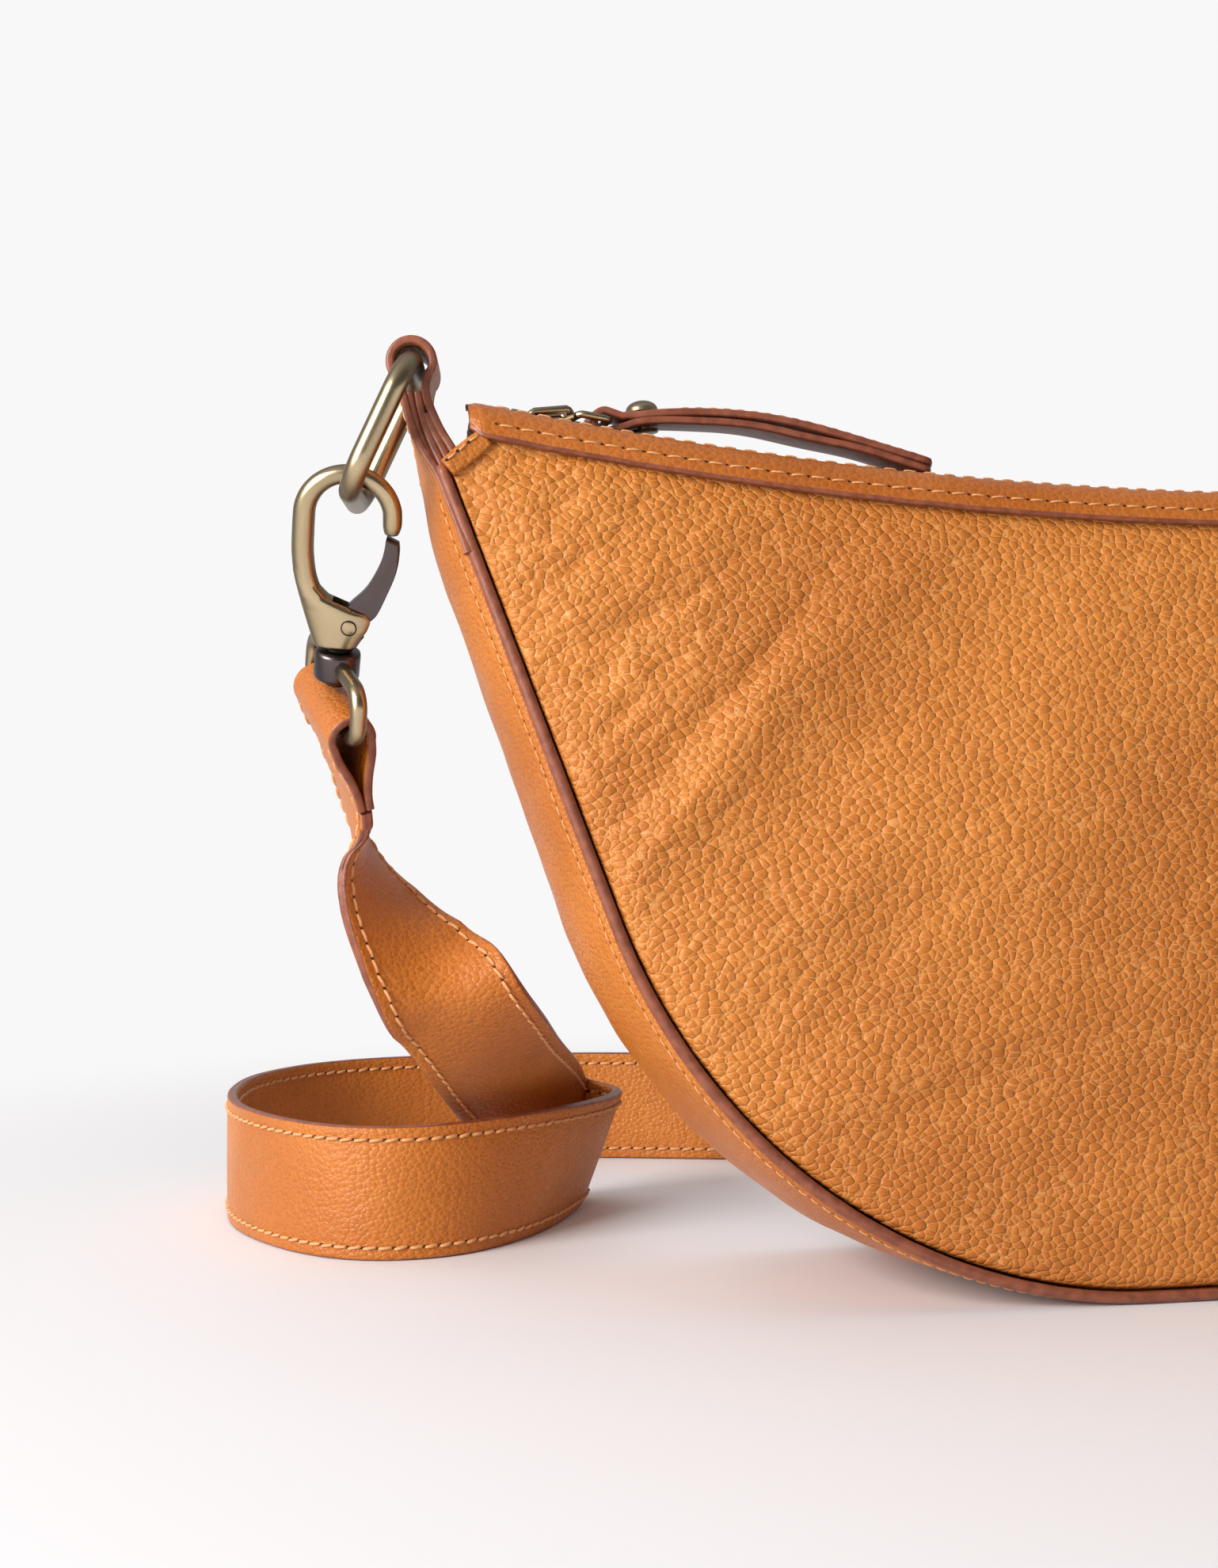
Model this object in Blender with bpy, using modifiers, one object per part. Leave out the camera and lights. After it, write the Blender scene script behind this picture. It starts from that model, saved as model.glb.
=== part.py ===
"""Crescent sling bag in pebbled leather: a zipped half-moon body with a U-shaped gusset, an oval ring and a
swivel snap hook at each end, and one flat leather strap.

The origin is on the floor under the middle of the bag. +X runs to the right along the bag, the front faces -Y
and +Z is up. Lengths are in millimetres, and MM turns them into metres where a mesh or a curve is made.
"""

import math

import bmesh
import bpy
from mathutils import Matrix, Vector

MM = 0.001
GAP = 0.3

# The side view of the body: a flat foot, an arc and a straight run up to each top corner.
FOOT_HALF = 26.0
ARC_RADIUS = 120.0
ARC_ANGLE = math.radians(70)
CORNER_HEIGHT = 171.0

# Half of the body's depth, at the floor and at the corners.
FOOT_DEPTH = 35.0
CORNER_DEPTH = 12.5

# The zip follows an arc whose centre is far above the bag.
ZIP_RADIUS = 950.0
ZIP_LOW = 171.3
ZIP_HALF = 164.0

LEATHER = 2.0
LINING = 0.8
GUSSET_BULGE = 4.0
PANEL_DOME = 5.0
PIPING_RADIUS = 1.2
PIPING_INSET = 1.3
PANEL_INSET = 2.9
PANEL_TOP_DROP = 5.0
PANEL_TOP_HALF = 160.0

BAND_EDGE = 5.2
BAND_HEIGHT = 8.2
BAND_THICKNESS = 1.8

TEETH_GAP = 0.55
TEETH_REACH = 2.4
TEETH_TOP = -4.0
TEETH_HEIGHT = 2.2
TAPE_REACH = 8.5
TAPE_LEVEL = -5.6
TAPE_OUTER_LEVEL = -3.5
TAPE_THICKNESS = 0.6

SLIDER_X = -152.0
SLIDER_LENGTH = 11.0
SLIDER_DROP = 2.6
CROWN_PATH = [(-3.8, 0, 0.0), (-3.5, 0, 2.2), (-2.2, 0, 3.5), (2.2, 0, 3.5), (3.5, 0, 2.2), (3.8, 0, 0.0)]
CROWN_WIRE = 0.85

# The pull hangs from the slider as bail, flat link and leather tab; lengths run along the zip.
BAIL_LENGTH = 9.5
BAIL_HALF_WIDTH = 3.4
BAIL_TIP_CORNER = 1.2
BAIL_FOOT_CORNER = 1.6
BAIL_WIRE = 0.8
BAIL_LEVEL = -0.95
BAIL_RISE = 3.1
LINK_LENGTH = 7.5
LINK_EYE_RADIUS = 1.9
LINK_EYE_HOLE = 1.1
LINK_EYE_HALF_WIDTH = 1.7
LINK_HALF_WIDTH = 7.0
LINK_HALF_THICKNESS = 0.6
LINK_WINDOW_HALF_WIDTH = 6.0
LINK_WINDOW_LENGTH = 2.8
TAB_LENGTH = 71.0
TAB_THICKNESS = 3.3
TAB_HALF_WIDTH = 5.6
TAB_START = 2.4
TAB_ARCH = 5.0
TAB_ARCH_SHAPE = 0.8
TAB_EYE_RADIUS = 2.9
TAB_EYE_HOLE = 1.5
RIVET_AT = 7.6
RIVET_SHANK = 1.2
RIVET_HOLE = 1.5

LOOP_CENTRE = Vector((-175.0, 0.0, 193.0))
LOOP_OUTER = 5.2
LOOP_HOLE = 3.4
LOOP_WIDTH = 20.0
LOOP_TOE_IN = math.radians(10)

RING_WIRE = 2.3
RING_LENGTH = 29.5
RING_HALF_WIDTH = 16.0
RING_CORNER = 8.0
RING_LEAN = math.radians(25)

HOOK_CENTRE = Vector((-188.2, 3.1, 162.5))
EYE_BAR = Vector((-189.6, 22.3, 123.1))
HOOK_WIRE = 2.2
HOOK_RADIUS = 9.2
EYE_WIRE = 1.8
EYE_HALF = 18.0
EYE_CAP_RADIUS = 4.9

STRAP_WIDTH = 30.0
STRAP_THICKNESS = 2.6
FOLD_THICKNESS = 1.9
FOLD_INNER = 3.4
FOLD_LENGTH = 17.5
EYE_BAR_AXIS = Vector((-0.185, 0.880, 0.437)).normalized()

# The strap's route from the left hook round the floor loop, behind the bag and up to the right hook: the
# middle of the strap and the direction of its width at each station.
STRAP_ROUTE = (
    ((-185.6, 31.05, 107.2), (-0.185, 0.880, 0.437)),
    ((-184.2, 34.1, 101.6), (-0.10, 0.92, 0.38)),
    ((-182.4, 35.6, 93.0), (0.15, 0.95, 0.20)),
    ((-178.6, 33.0, 82.0), (0.60, 0.79, 0.05)),
    ((-171.5, 28.5, 70.2), (0.93, 0.36, -0.06)),
    ((-163.0, 26.5, 58.8), (0.98, -0.05, 0.10)),
    ((-154.2, 37.0, 48.0), (0.95, -0.02, 0.28)),
    ((-145.6, 56.0, 38.0), (0.85, -0.01, 0.52)),
    ((-134.0, 80.0, 27.0), (0.62, 0.04, 0.78)),
    ((-125.5, 97.0, 19.5), (0.32, 0.04, 0.94)),
    ((-120.5, 107.0, 16.0), (0.26, 0.0, 0.96)),
    ((-115.4, 99.6, 15.0), (0.34, -0.03, 0.94)),
    ((-122.0, 82.0, 15.0), (0.28, -0.10, 0.95)),
    ((-138.2, 59.6, 15.1), (0.12, -0.06, 0.99)),
    ((-157.0, 44.0, 15.1), (0.0, 0.0, 1.0)),
    ((-173.4, 39.5, 15.1), (0.0, 0.0, 1.0)),
    ((-188.0, 45.0, 15.1), (0.0, 0.0, 1.0)),
    ((-200.0, 61.7, 15.1), (0.0, 0.0, 1.0)),
    ((-207.3, 85.8, 15.1), (0.0, 0.0, 1.0)),
    ((-206.3, 114.3, 15.1), (0.0, 0.0, 1.0)),
    ((-197.8, 140.0, 15.1), (0.0, 0.0, 1.0)),
    ((-179.0, 160.0, 15.1), (0.0, 0.0, 1.0)),
    ((-150.0, 168.5, 15.1), (0.0, 0.0, 1.0)),
    ((-105.0, 166.0, 15.1), (0.0, 0.0, 1.0)),
    ((-61.0, 154.0, 15.1), (0.0, 0.0, 1.0)),
    ((-15.0, 146.0, 15.1), (0.0, 0.0, 1.0)),
    ((35.0, 146.0, 15.1), (0.0, 0.0, 1.0)),
    ((85.0, 152.0, 15.1), (0.0, 0.0, 1.0)),
    ((130.0, 156.0, 15.1), (0.0, 0.0, 1.0)),
    ((165.0, 146.0, 15.4), (-0.04, 0.0, 1.0)),
    ((187.0, 122.0, 17.0), (-0.18, 0.0, 0.98)),
    ((195.0, 96.0, 21.0), (-0.44, 0.02, 0.90)),
    ((193.0, 72.0, 29.0), (-0.70, 0.02, 0.72)),
    ((187.0, 50.0, 40.0), (-0.90, 0.0, 0.42)),
    ((180.0, 34.0, 52.0), (-0.97, -0.02, 0.22)),
    ((176.0, 28.5, 65.0), (-0.92, 0.38, 0.02)),
    ((178.6, 32.0, 80.0), (-0.62, 0.78, 0.04)),
    ((182.4, 35.6, 93.0), (-0.15, 0.95, 0.20)),
    ((184.2, 34.1, 101.6), (0.10, 0.92, 0.38)),
    ((185.6, 31.05, 107.2), (0.185, 0.880, 0.437)),
)
STRAP_PARTS = (
    ("strap_drop_left", 0.0, 0.17),
    ("strap_floor_loop_front", 0.17, 0.335),
    ("strap_floor_loop_back", 0.335, 0.50),
    ("strap_back_run", 0.50, 0.79),
    ("strap_drop_right", 0.79, 1.0),
)
STRAP_STEP = 7.0

MIRROR = Matrix.Scale(-1, 4, (1, 0, 0))

COLOURS = {
    "pebbled_leather": ((0.61, 0.25, 0.07), 0.55, 0.0),
    "smooth_leather": ((0.55, 0.22, 0.07), 0.5, 0.0),
    "painted_edge": ((0.28, 0.08, 0.04), 0.45, 0.0),
    "brown_leather": ((0.30, 0.10, 0.045), 0.5, 0.0),
    "lining_cloth": ((0.35, 0.24, 0.15), 0.9, 0.0),
    "zip_tape": ((0.45, 0.25, 0.12), 0.85, 0.0),
    "board": ((0.25, 0.2, 0.15), 0.8, 0.0),
    "antique_brass": ((0.45, 0.33, 0.17), 0.38, 1.0),
    "gunmetal": ((0.16, 0.13, 0.12), 0.35, 1.0),
}


def new_collection(name):
    made = bpy.data.collections.new(name)
    bpy.context.scene.collection.children.link(made)
    return made


def new_material(name):
    colour, roughness, metallic = COLOURS[name]
    made = bpy.data.materials.new(name)
    made.use_nodes = True
    shader = made.node_tree.nodes["Principled BSDF"]
    shader.inputs["Base Color"].default_value = (*colour, 1)
    shader.inputs["Roughness"].default_value = roughness
    shader.inputs["Metallic"].default_value = metallic
    made.diffuse_color = (*colour, 1)
    return made


def clear_scene():
    for obj in list(bpy.data.objects):
        bpy.data.objects.remove(obj, do_unlink=True)


clear_scene()
PARTS = new_collection("sling_bag")
CUTTERS = new_collection("cutters")
MATERIALS = {name: new_material(name) for name in COLOURS}


def add(name, data, slot, matrix=None):
    """Links data as an object of the bag, with the material of that slot."""
    obj = bpy.data.objects.new(name, data)
    PARTS.objects.link(obj)
    data.materials.append(MATERIALS[slot])
    if matrix is not None:
        obj.matrix_world = matrix
    return obj


def set_aside(obj):
    """Makes an object a helper that only takes part in Booleans."""
    PARTS.objects.unlink(obj)
    CUTTERS.objects.link(obj)
    obj.hide_render = True
    obj.display_type = "WIRE"


def boolean(obj, other, operation):
    modifier = obj.modifiers.new(operation.lower(), "BOOLEAN")
    modifier.operation = operation
    modifier.solver = "EXACT"
    modifier.object = other
    if other.name in PARTS.objects:
        set_aside(other)


def sheet_mesh(name, rows):
    """An open grid through rows of points."""
    mesh = bpy.data.meshes.new(name)
    bm = bmesh.new()
    verts = [[bm.verts.new(Vector(point) * MM) for point in row] for row in rows]
    for low, high in zip(verts, verts[1:]):
        for j in range(len(low) - 1):
            bm.faces.new((low[j], low[j + 1], high[j + 1], high[j]))
    bm.to_mesh(mesh)
    bm.free()
    mesh.shade_smooth()
    return mesh


def slab(name, rows, thickness, slot, offset=0.0):
    """A grid of points made solid with Solidify; offset says which side of the grid the thickness goes."""
    obj = add(name, sheet_mesh(name, rows), slot)
    solid = obj.modifiers.new("thickness", "SOLIDIFY")
    solid.thickness = thickness * MM
    solid.offset = offset
    return obj


def rod(name, points, radius, slot, cyclic=False, matrix=None, resolution=2):
    """A round wire through points, closed on itself or with filled ends."""
    curve = bpy.data.curves.new(name, "CURVE")
    curve.dimensions = "3D"
    curve.bevel_depth = radius * MM
    curve.bevel_resolution = resolution
    curve.use_fill_caps = not cyclic
    spline = curve.splines.new("POLY")
    spline.points.add(len(points) - 1)
    for knot, point in zip(spline.points, points):
        knot.co = (*(Vector(point) * MM), 1)
    spline.use_cyclic_u = cyclic
    return add(name, curve, slot, matrix)


def plate(name, outlines, half_thickness, slot, matrix=None):
    """Flat outlines, the first one solid and the others its holes, extruded to both sides of their plane."""
    curve = bpy.data.curves.new(name, "CURVE")
    curve.dimensions = "2D"
    curve.fill_mode = "BOTH"
    curve.extrude = half_thickness * MM
    for outline in outlines:
        spline = curve.splines.new("POLY")
        spline.points.add(len(outline) - 1)
        for knot, (x, y) in zip(spline.points, outline):
            knot.co = (x * MM, y * MM, 0, 1)
        spline.use_cyclic_u = True
    return add(name, curve, slot, matrix)


def turned(name, profile, slot, matrix=None, steps=16):
    """A profile of (radius, height) from top to bottom, turned round the local Z axis."""
    mesh = bpy.data.meshes.new(name)
    points = [(radius * MM, 0, height * MM) for radius, height in profile]
    mesh.from_pydata(points, [(i, i + 1) for i in range(len(points) - 1)], [])
    obj = add(name, mesh, slot, matrix)
    screw = obj.modifiers.new("turn", "SCREW")
    screw.steps = steps
    screw.render_steps = steps
    screw.use_merge_vertices = True
    screw.merge_threshold = 1e-6
    return as_mesh(obj)


def cylinder(name, radius, half_length, slot, matrix, segments=16):
    mesh = bpy.data.meshes.new(name)
    bm = bmesh.new()
    bmesh.ops.create_cone(
        bm, cap_ends=True, segments=segments, radius1=radius * MM, radius2=radius * MM,
        depth=2 * half_length * MM,
    )
    bm.to_mesh(mesh)
    bm.free()
    return add(name, mesh, slot, matrix)


def box(name, low, high, slot, matrix=None, bevel=0.0):
    mesh = bpy.data.meshes.new(name)
    bm = bmesh.new()
    size = Vector(high) - Vector(low)
    middle = (Vector(high) + Vector(low)) / 2
    bmesh.ops.create_cube(bm, size=1)
    bmesh.ops.scale(bm, vec=size * MM, verts=bm.verts)
    bmesh.ops.translate(bm, vec=middle * MM, verts=bm.verts)
    if bevel:
        bmesh.ops.bevel(bm, geom=bm.edges, offset=bevel * MM, segments=2, profile=0.5, affect="EDGES")
    bm.to_mesh(mesh)
    bm.free()
    return add(name, mesh, slot, matrix)


def as_mesh(obj):
    """The evaluated shape of an object as a plain mesh object of the same name, closed along its caps."""
    bpy.context.view_layer.update()
    graph = bpy.context.evaluated_depsgraph_get()
    mesh = bpy.data.meshes.new_from_object(obj.evaluated_get(graph))
    bm = bmesh.new()
    bm.from_mesh(mesh)
    bmesh.ops.remove_doubles(bm, verts=bm.verts, dist=1e-6)
    bmesh.ops.recalc_face_normals(bm, faces=bm.faces)
    bm.to_mesh(mesh)
    bm.free()
    name, matrix = obj.name, obj.matrix_world.copy()
    bpy.data.objects.remove(obj, do_unlink=True)
    made = bpy.data.objects.new(name, mesh)
    mesh.name = name
    PARTS.objects.link(made)
    made.matrix_world = matrix
    return made


def frame_at(origin, x_axis, y_axis, z_axis):
    """The matrix that puts local axes along the given directions at a point in millimetres."""
    columns = Matrix((x_axis, y_axis, z_axis)).transposed().to_4x4()
    return Matrix.Translation(Vector(origin) * MM) @ columns


def arc(centre, radius, start, end, count):
    """Points on an arc, in degrees, with both ends."""
    cx, cy = centre
    angles = [math.radians(start + (end - start) * i / count) for i in range(count + 1)]
    return [(cx + radius * math.cos(a), cy + radius * math.sin(a)) for a in angles]


def pivot(name, origin, *pieces):
    """An empty on a joint's axis that carries the pieces which turn about it."""
    empty = bpy.data.objects.new(name, None)
    empty.empty_display_size = 5 * MM
    PARTS.objects.link(empty)
    empty.location = Vector(origin) * MM
    bpy.context.view_layer.update()
    for piece in pieces:
        piece.parent = empty
        piece.matrix_parent_inverse = empty.matrix_world.inverted()
    return empty


# ---------------------------------------------------------------- the body's form


def zip_height(x):
    """Height of the bag's top line."""
    return ZIP_LOW + ZIP_RADIUS - math.sqrt(ZIP_RADIUS**2 - x**2)


def half_depth(z):
    """Half of the body's depth at a height."""
    return FOOT_DEPTH + (CORNER_DEPTH - FOOT_DEPTH) * z / CORNER_HEIGHT


def side_outline(s, inset):
    """The body's outline at s, from 0 at the left corner over 0.5 at the foot to 1 at the right corner, moved
    inwards by inset: (x, z, lift), where lift is 0 on the foot and 1 once the outline has left the floor."""
    arc_length = ARC_RADIUS * ARC_ANGLE
    arc_top = ARC_RADIUS * (1 - math.cos(ARC_ANGLE))
    straight = (CORNER_HEIGHT - arc_top) / math.sin(ARC_ANGLE)
    total = FOOT_HALF + arc_length + straight
    side = -1 if s < 0.5 else 1
    along = abs(s - 0.5) * 2 * total
    angle = min(max(along - FOOT_HALF, 0) / ARC_RADIUS, ARC_ANGLE)
    rest = max(along - FOOT_HALF - arc_length, 0)
    x = min(along, FOOT_HALF) + ARC_RADIUS * math.sin(angle) + rest * math.cos(ARC_ANGLE)
    z = ARC_RADIUS * (1 - math.cos(angle)) + rest * math.sin(ARC_ANGLE)
    x -= inset * math.sin(angle)
    z += inset * math.cos(angle)
    lift = min(angle / math.radians(30), 1)
    return side * x, z, lift


def side_stations(count):
    """Stations along the outline with one at each end of the flat foot."""
    arc_length = ARC_RADIUS * ARC_ANGLE
    arc_top = ARC_RADIUS * (1 - math.cos(ARC_ANGLE))
    total = FOOT_HALF + arc_length + (CORNER_HEIGHT - arc_top) / math.sin(ARC_ANGLE)
    foot = FOOT_HALF / total / 2
    left = [(0.5 - foot) * i / count for i in range(count + 1)]
    return left + [1 - s for s in reversed(left)]


def gusset_rows(inset, edge_gap, bulge, across, count):
    rows = []
    for s in side_stations(count):
        row = []
        for j in range(across + 1):
            w = 2 * j / across - 1
            x, z, lift = side_outline(s, inset - bulge * (1 - w * w) * side_outline(s, 0)[2])
            reach = half_depth(side_outline(s, 0)[1]) - edge_gap
            row.append((x, w * reach, z))
        rows.append(row)
    return rows


def panel_rows(side, inset, depth_inset, top_drop, top_half, count, up):
    """The front (side -1) or back (side 1) face, from the outline up to the top line."""
    rows = []
    for s in side_stations(count):
        x0, z0, _ = side_outline(s, inset)
        x1 = top_half * (2 * s - 1)
        z1 = zip_height(x1) - top_drop
        row = []
        for j in range(up + 1):
            t = j / up
            x = x0 + (x1 - x0) * t
            z = z0 + (z1 - z0) * t
            dome = PANEL_DOME * (4 * t * (1 - t)) ** 0.8 * math.sin(math.pi * s) ** 0.6
            row.append((x, side * (half_depth(z) - depth_inset + dome), z))
        rows.append(row)
    return rows


def arc_rows(profile, half, count):
    """A cross-section of (y, height above the zip line) carried along the zip's arc."""
    rows = []
    for i in range(count + 1):
        angle = (2 * i / count - 1) * math.asin(half / ZIP_RADIUS)
        row = []
        for y, height in profile:
            radius = ZIP_RADIUS - height
            z = ZIP_LOW + ZIP_RADIUS - radius * math.cos(angle)
            row.append((radius * math.sin(angle), y, z))
        rows.append(row)
    return rows


def make_shell():
    """The gusset, the two faces and the edge piping between them."""
    slab("gusset", gusset_rows(0, PIPING_RADIUS + GAP, GUSSET_BULGE, 6, 13), LEATHER, "smooth_leather", -1)
    for side, name in ((-1, "front"), (1, "back")):
        rows = panel_rows(side, PANEL_INSET, -0.6, PANEL_TOP_DROP, PANEL_TOP_HALF, 11, 5)
        slab(f"{name}_panel", rows, LEATHER, "pebbled_leather", -side)
        points = []
        for s in side_stations(14):
            x, z, _ = side_outline(s, PIPING_INSET)
            points.append((x, side * half_depth(z), z))
        rod(f"{name}_piping", points, PIPING_RADIUS, "painted_edge")


def make_inside():
    """The lining, its slip pocket and the board that stiffens the foot."""
    slab("lining_gusset", gusset_rows(3.9, 3.3, GUSSET_BULGE, 2, 10), LINING, "lining_cloth", -1)
    for side, name in ((-1, "front"), (1, "back")):
        rows = panel_rows(side, 6.0, 1.9, 8.0, PANEL_TOP_HALF - 6, 10, 4)
        slab(f"lining_{name}", rows, LINING, "lining_cloth", -side)
    pocket = []
    for i in range(9):
        x = -55 + 110 * i / 8
        pocket.append([(x, half_depth(z) - 5.2, z) for z in (45, 85, 125)])
    slab("lining_pocket", pocket, LINING, "lining_cloth", 0)
    box("foot_board", (-24, -29, 2.4), (24, 29, 3.6), "board")


def band_profile(side, x):
    """The zip facing: from its lower edge on the face up to its edge beside the teeth."""
    low = half_depth(zip_height(x) - BAND_HEIGHT) + 3.6
    return [
        (side * low, -BAND_HEIGHT),
        (side * (low - 1.0), -4.4),
        (side * (low - 4.4), -1.0),
        (side * BAND_EDGE, 0.0),
    ]


def make_top():
    """The zip facings, the tapes and the teeth, all on the zip's arc, and the strips over the corners."""
    count = 22
    for side, name in ((-1, "front"), (1, "back")):
        rows = []
        for i in range(count + 1):
            x = ZIP_HALF * (2 * i / count - 1)
            rows.append([(x, y, zip_height(x) + h) for y, h in band_profile(side, x)])
        slab(f"zip_band_{name}", rows, BAND_THICKNESS, "pebbled_leather", -side)
        tape = [(side * (TEETH_REACH + GAP), TAPE_LEVEL), (side * TAPE_REACH, TAPE_OUTER_LEVEL)]
        slab(f"zip_tape_{name}", arc_rows(tape, ZIP_HALF - 2, count), TAPE_THICKNESS, "zip_tape", 0)
        middle = TEETH_TOP - TEETH_HEIGHT / 2
        teeth = [(side * TEETH_GAP, middle), (side * TEETH_REACH, middle)]
        slab(f"zip_teeth_{name}", arc_rows(teeth, ZIP_HALF - 6, count), TEETH_HEIGHT, "antique_brass", 0)
        for end, place in ((-1, "left"), (1, "right")):
            x0, z0, _ = side_outline(0 if end < 0 else 1, PANEL_INSET)
            x1 = end * (PANEL_TOP_HALF - 1.5)
            z1 = zip_height(x1) - BAND_HEIGHT - GAP
            rows = []
            for i in range(4):
                t = i / 3
                x = x0 - end * 0.6 + (x1 - x0) * t
                z = z0 + 1 + (z1 - z0 - 3.4) * t
                y = side * (half_depth(z) + 2.1)
                rows.append([(x - end * 1.6, y, z - 1.2), (x + end * 0.9, y, z + 1.0)])
            slab(f"corner_strip_{name}_{place}", rows, 1.2, "smooth_leather", 0)


def zip_matrix(x):
    """Local X along the zip's arc at x, local Y across it and local Z away from it."""
    angle = math.asin(x / ZIP_RADIUS)
    along = Vector((math.cos(angle), 0, math.sin(angle)))
    up = Vector((-math.sin(angle), 0, math.cos(angle)))
    return frame_at((x, 0, zip_height(x)), along, Vector((0, 1, 0)), up)


def lying(matrix):
    """Turns a plate's plane from local XY to XZ, so that it extrudes across the zip."""
    return matrix @ Matrix.Rotation(math.radians(90), 4, "X")


def make_zip_ends():
    for end, place in ((-1, "left"), (1, "right")):
        x = end * (ZIP_HALF - 4)
        profile_low = TEETH_TOP - TEETH_HEIGHT - 0.4
        low, high = (-1.2, -2.6, profile_low), (1.2, 2.6, TEETH_TOP + 0.6)
        box(f"zip_stop_{place}", low, high, "antique_brass", zip_matrix(x), 0.3)


def zip_drop(x):
    """How far the zip's arc curves away, upwards, from the tangent at the slider."""
    return ZIP_RADIUS - math.sqrt(ZIP_RADIUS**2 - x**2)


def arch_height(x):
    """Height of the tab's middle above the link's level, x along the zip from the tab's pivot."""
    u = (x - TAB_START) / (TAB_LENGTH - TAB_START)
    return TAB_ARCH * math.sin(math.pi * u**TAB_ARCH_SHAPE)


def make_slider_body(here):
    """The slider: two plates joined by a web, with the crown that carries the bail on top."""
    half = SLIDER_LENGTH / 2
    body = box("zip_slider", (-half, -4.3, -1.0), (half, 4.3, 0.6), "antique_brass", here, 0.35)
    web = box("slider_web", (-half + 0.6, -0.25, -5.0), (half - 0.6, 0.25, 0.2), "antique_brass", here)
    sole = box("slider_sole", (-half, -3.6, -5.6), (half, 3.6, -4.2), "antique_brass", here, 0.35)
    crown = as_mesh(rod("slider_crown", CROWN_PATH, CROWN_WIRE, "antique_brass", matrix=here))
    for piece in (web, sole, crown):
        boolean(body, piece, "UNION")
    return body


def make_bail(here):
    """A small wire loop that passes under the crown and rises slightly towards the link."""
    tip_x, tip_y = BAIL_LENGTH - BAIL_TIP_CORNER, BAIL_HALF_WIDTH - BAIL_TIP_CORNER
    foot_x, foot_y = BAIL_FOOT_CORNER, BAIL_HALF_WIDTH - BAIL_FOOT_CORNER
    path = arc((tip_x, tip_y), BAIL_TIP_CORNER, 90, 0, 3)
    path += arc((tip_x, -tip_y), BAIL_TIP_CORNER, 0, -90, 3)
    path += arc((foot_x, -foot_y), BAIL_FOOT_CORNER, -90, -180, 3)
    path += arc((foot_x, foot_y), BAIL_FOOT_CORNER, 180, 90, 3)
    slope = BAIL_RISE / BAIL_LENGTH
    points = [(x, y, BAIL_LEVEL + slope * x) for x, y in path]
    return rod("slider_bail", points, BAIL_WIRE, "antique_brass", True, here)


def make_link(here, x, z):
    """The flat link: an eye round the bail at (x, z) and a window for the leather tab at its other end."""
    end = x + LINK_LENGTH
    eye = [arc((x, z), LINK_EYE_RADIUS, 0, 345, 11), arc((x, z), LINK_EYE_HOLE, 0, 330, 11)]
    link = as_mesh(plate("puller_link", eye, LINK_EYE_HALF_WIDTH, "antique_brass", lying(here)))
    neck_x, shoulder_x, far_x = x + 1.5, x + 3.0, end + 0.8
    half = LINK_HALF_WIDTH
    outline = [(neck_x, -LINK_EYE_HALF_WIDTH), (shoulder_x, -half), (far_x, -half)]
    outline += [(far_x, half), (shoulder_x, half), (neck_x, LINK_EYE_HALF_WIDTH)]
    low, high, side = end - 0.6 - LINK_WINDOW_LENGTH, end - 0.6, LINK_WINDOW_HALF_WIDTH
    window = [(low, -side), (high, -side), (high, side), (low, side)]
    level = here @ Matrix.Translation((0, 0, z * MM))
    flat = as_mesh(plate("link_plate", [outline, window], LINK_HALF_THICKNESS, "antique_brass", level))
    boolean(link, flat, "UNION")
    return link


def make_tab(here, tab_x, tab_z):
    """The leather tab, folded round the link's bar at (tab_x, tab_z), and the rivet that closes the fold."""
    top, bottom = [], []
    steps = 16
    for i in range(1, steps + 1):
        x = TAB_START + (TAB_LENGTH - TAB_START) * i / steps
        middle = tab_z - 0.1 + arch_height(x) + zip_drop(tab_x + x)
        top.append((tab_x + x, middle + TAB_THICKNESS / 2))
        bottom.append((tab_x + x, middle - TAB_THICKNESS / 2))
    fold = arc((tab_x, tab_z), TAB_EYE_RADIUS, 60, 285, 10)
    hole = arc((tab_x, tab_z), TAB_EYE_HOLE, 0, 330, 11)
    side = fold + bottom + list(reversed(top))
    tab = as_mesh(plate("puller_tab", [side, hole], TAB_HALF_WIDTH, "brown_leather", lying(here)))
    waist = TAB_HALF_WIDTH - 0.9
    full = TAB_HALF_WIDTH - 0.1
    plan = [(tab_x - 4, -waist), (tab_x + 4, -waist), (tab_x + 10, -full)]
    plan += arc((tab_x + TAB_LENGTH - TAB_HALF_WIDTH, 0), full, -90, 90, 8)
    plan += [(tab_x + 10, full), (tab_x + 4, waist), (tab_x - 4, waist)]
    plan_height = 40
    boolean(tab, as_mesh(plate("tab_plan", [plan], plan_height, "brown_leather", here)), "INTERSECT")

    rivet_z = tab_z - 0.1 + arch_height(RIVET_AT) + zip_drop(tab_x + RIVET_AT)
    slope = arch_height(RIVET_AT + 0.5) - arch_height(RIVET_AT - 0.5)
    tilt = Matrix.Rotation(-math.atan(slope), 4, "Y")
    level = here @ Matrix.Translation(((tab_x + RIVET_AT) * MM, 0, rivet_z * MM)) @ tilt
    boolean(tab, cylinder("rivet_hole", RIVET_HOLE, 6, "brown_leather", level), "DIFFERENCE")
    reach = TAB_THICKNESS / 2 + GAP + 0.25
    profile = [(0, reach + 1.9), (1.9, reach + 1.4), (3.1, reach + 0.5), (3.4, reach), (RIVET_SHANK, reach)]
    profile += [(RIVET_SHANK, -reach), (3.2, -reach), (3.2, -reach - 0.7), (0, -reach - 0.7)]
    return tab, turned("puller_rivet", profile, "antique_brass", level)


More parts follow.
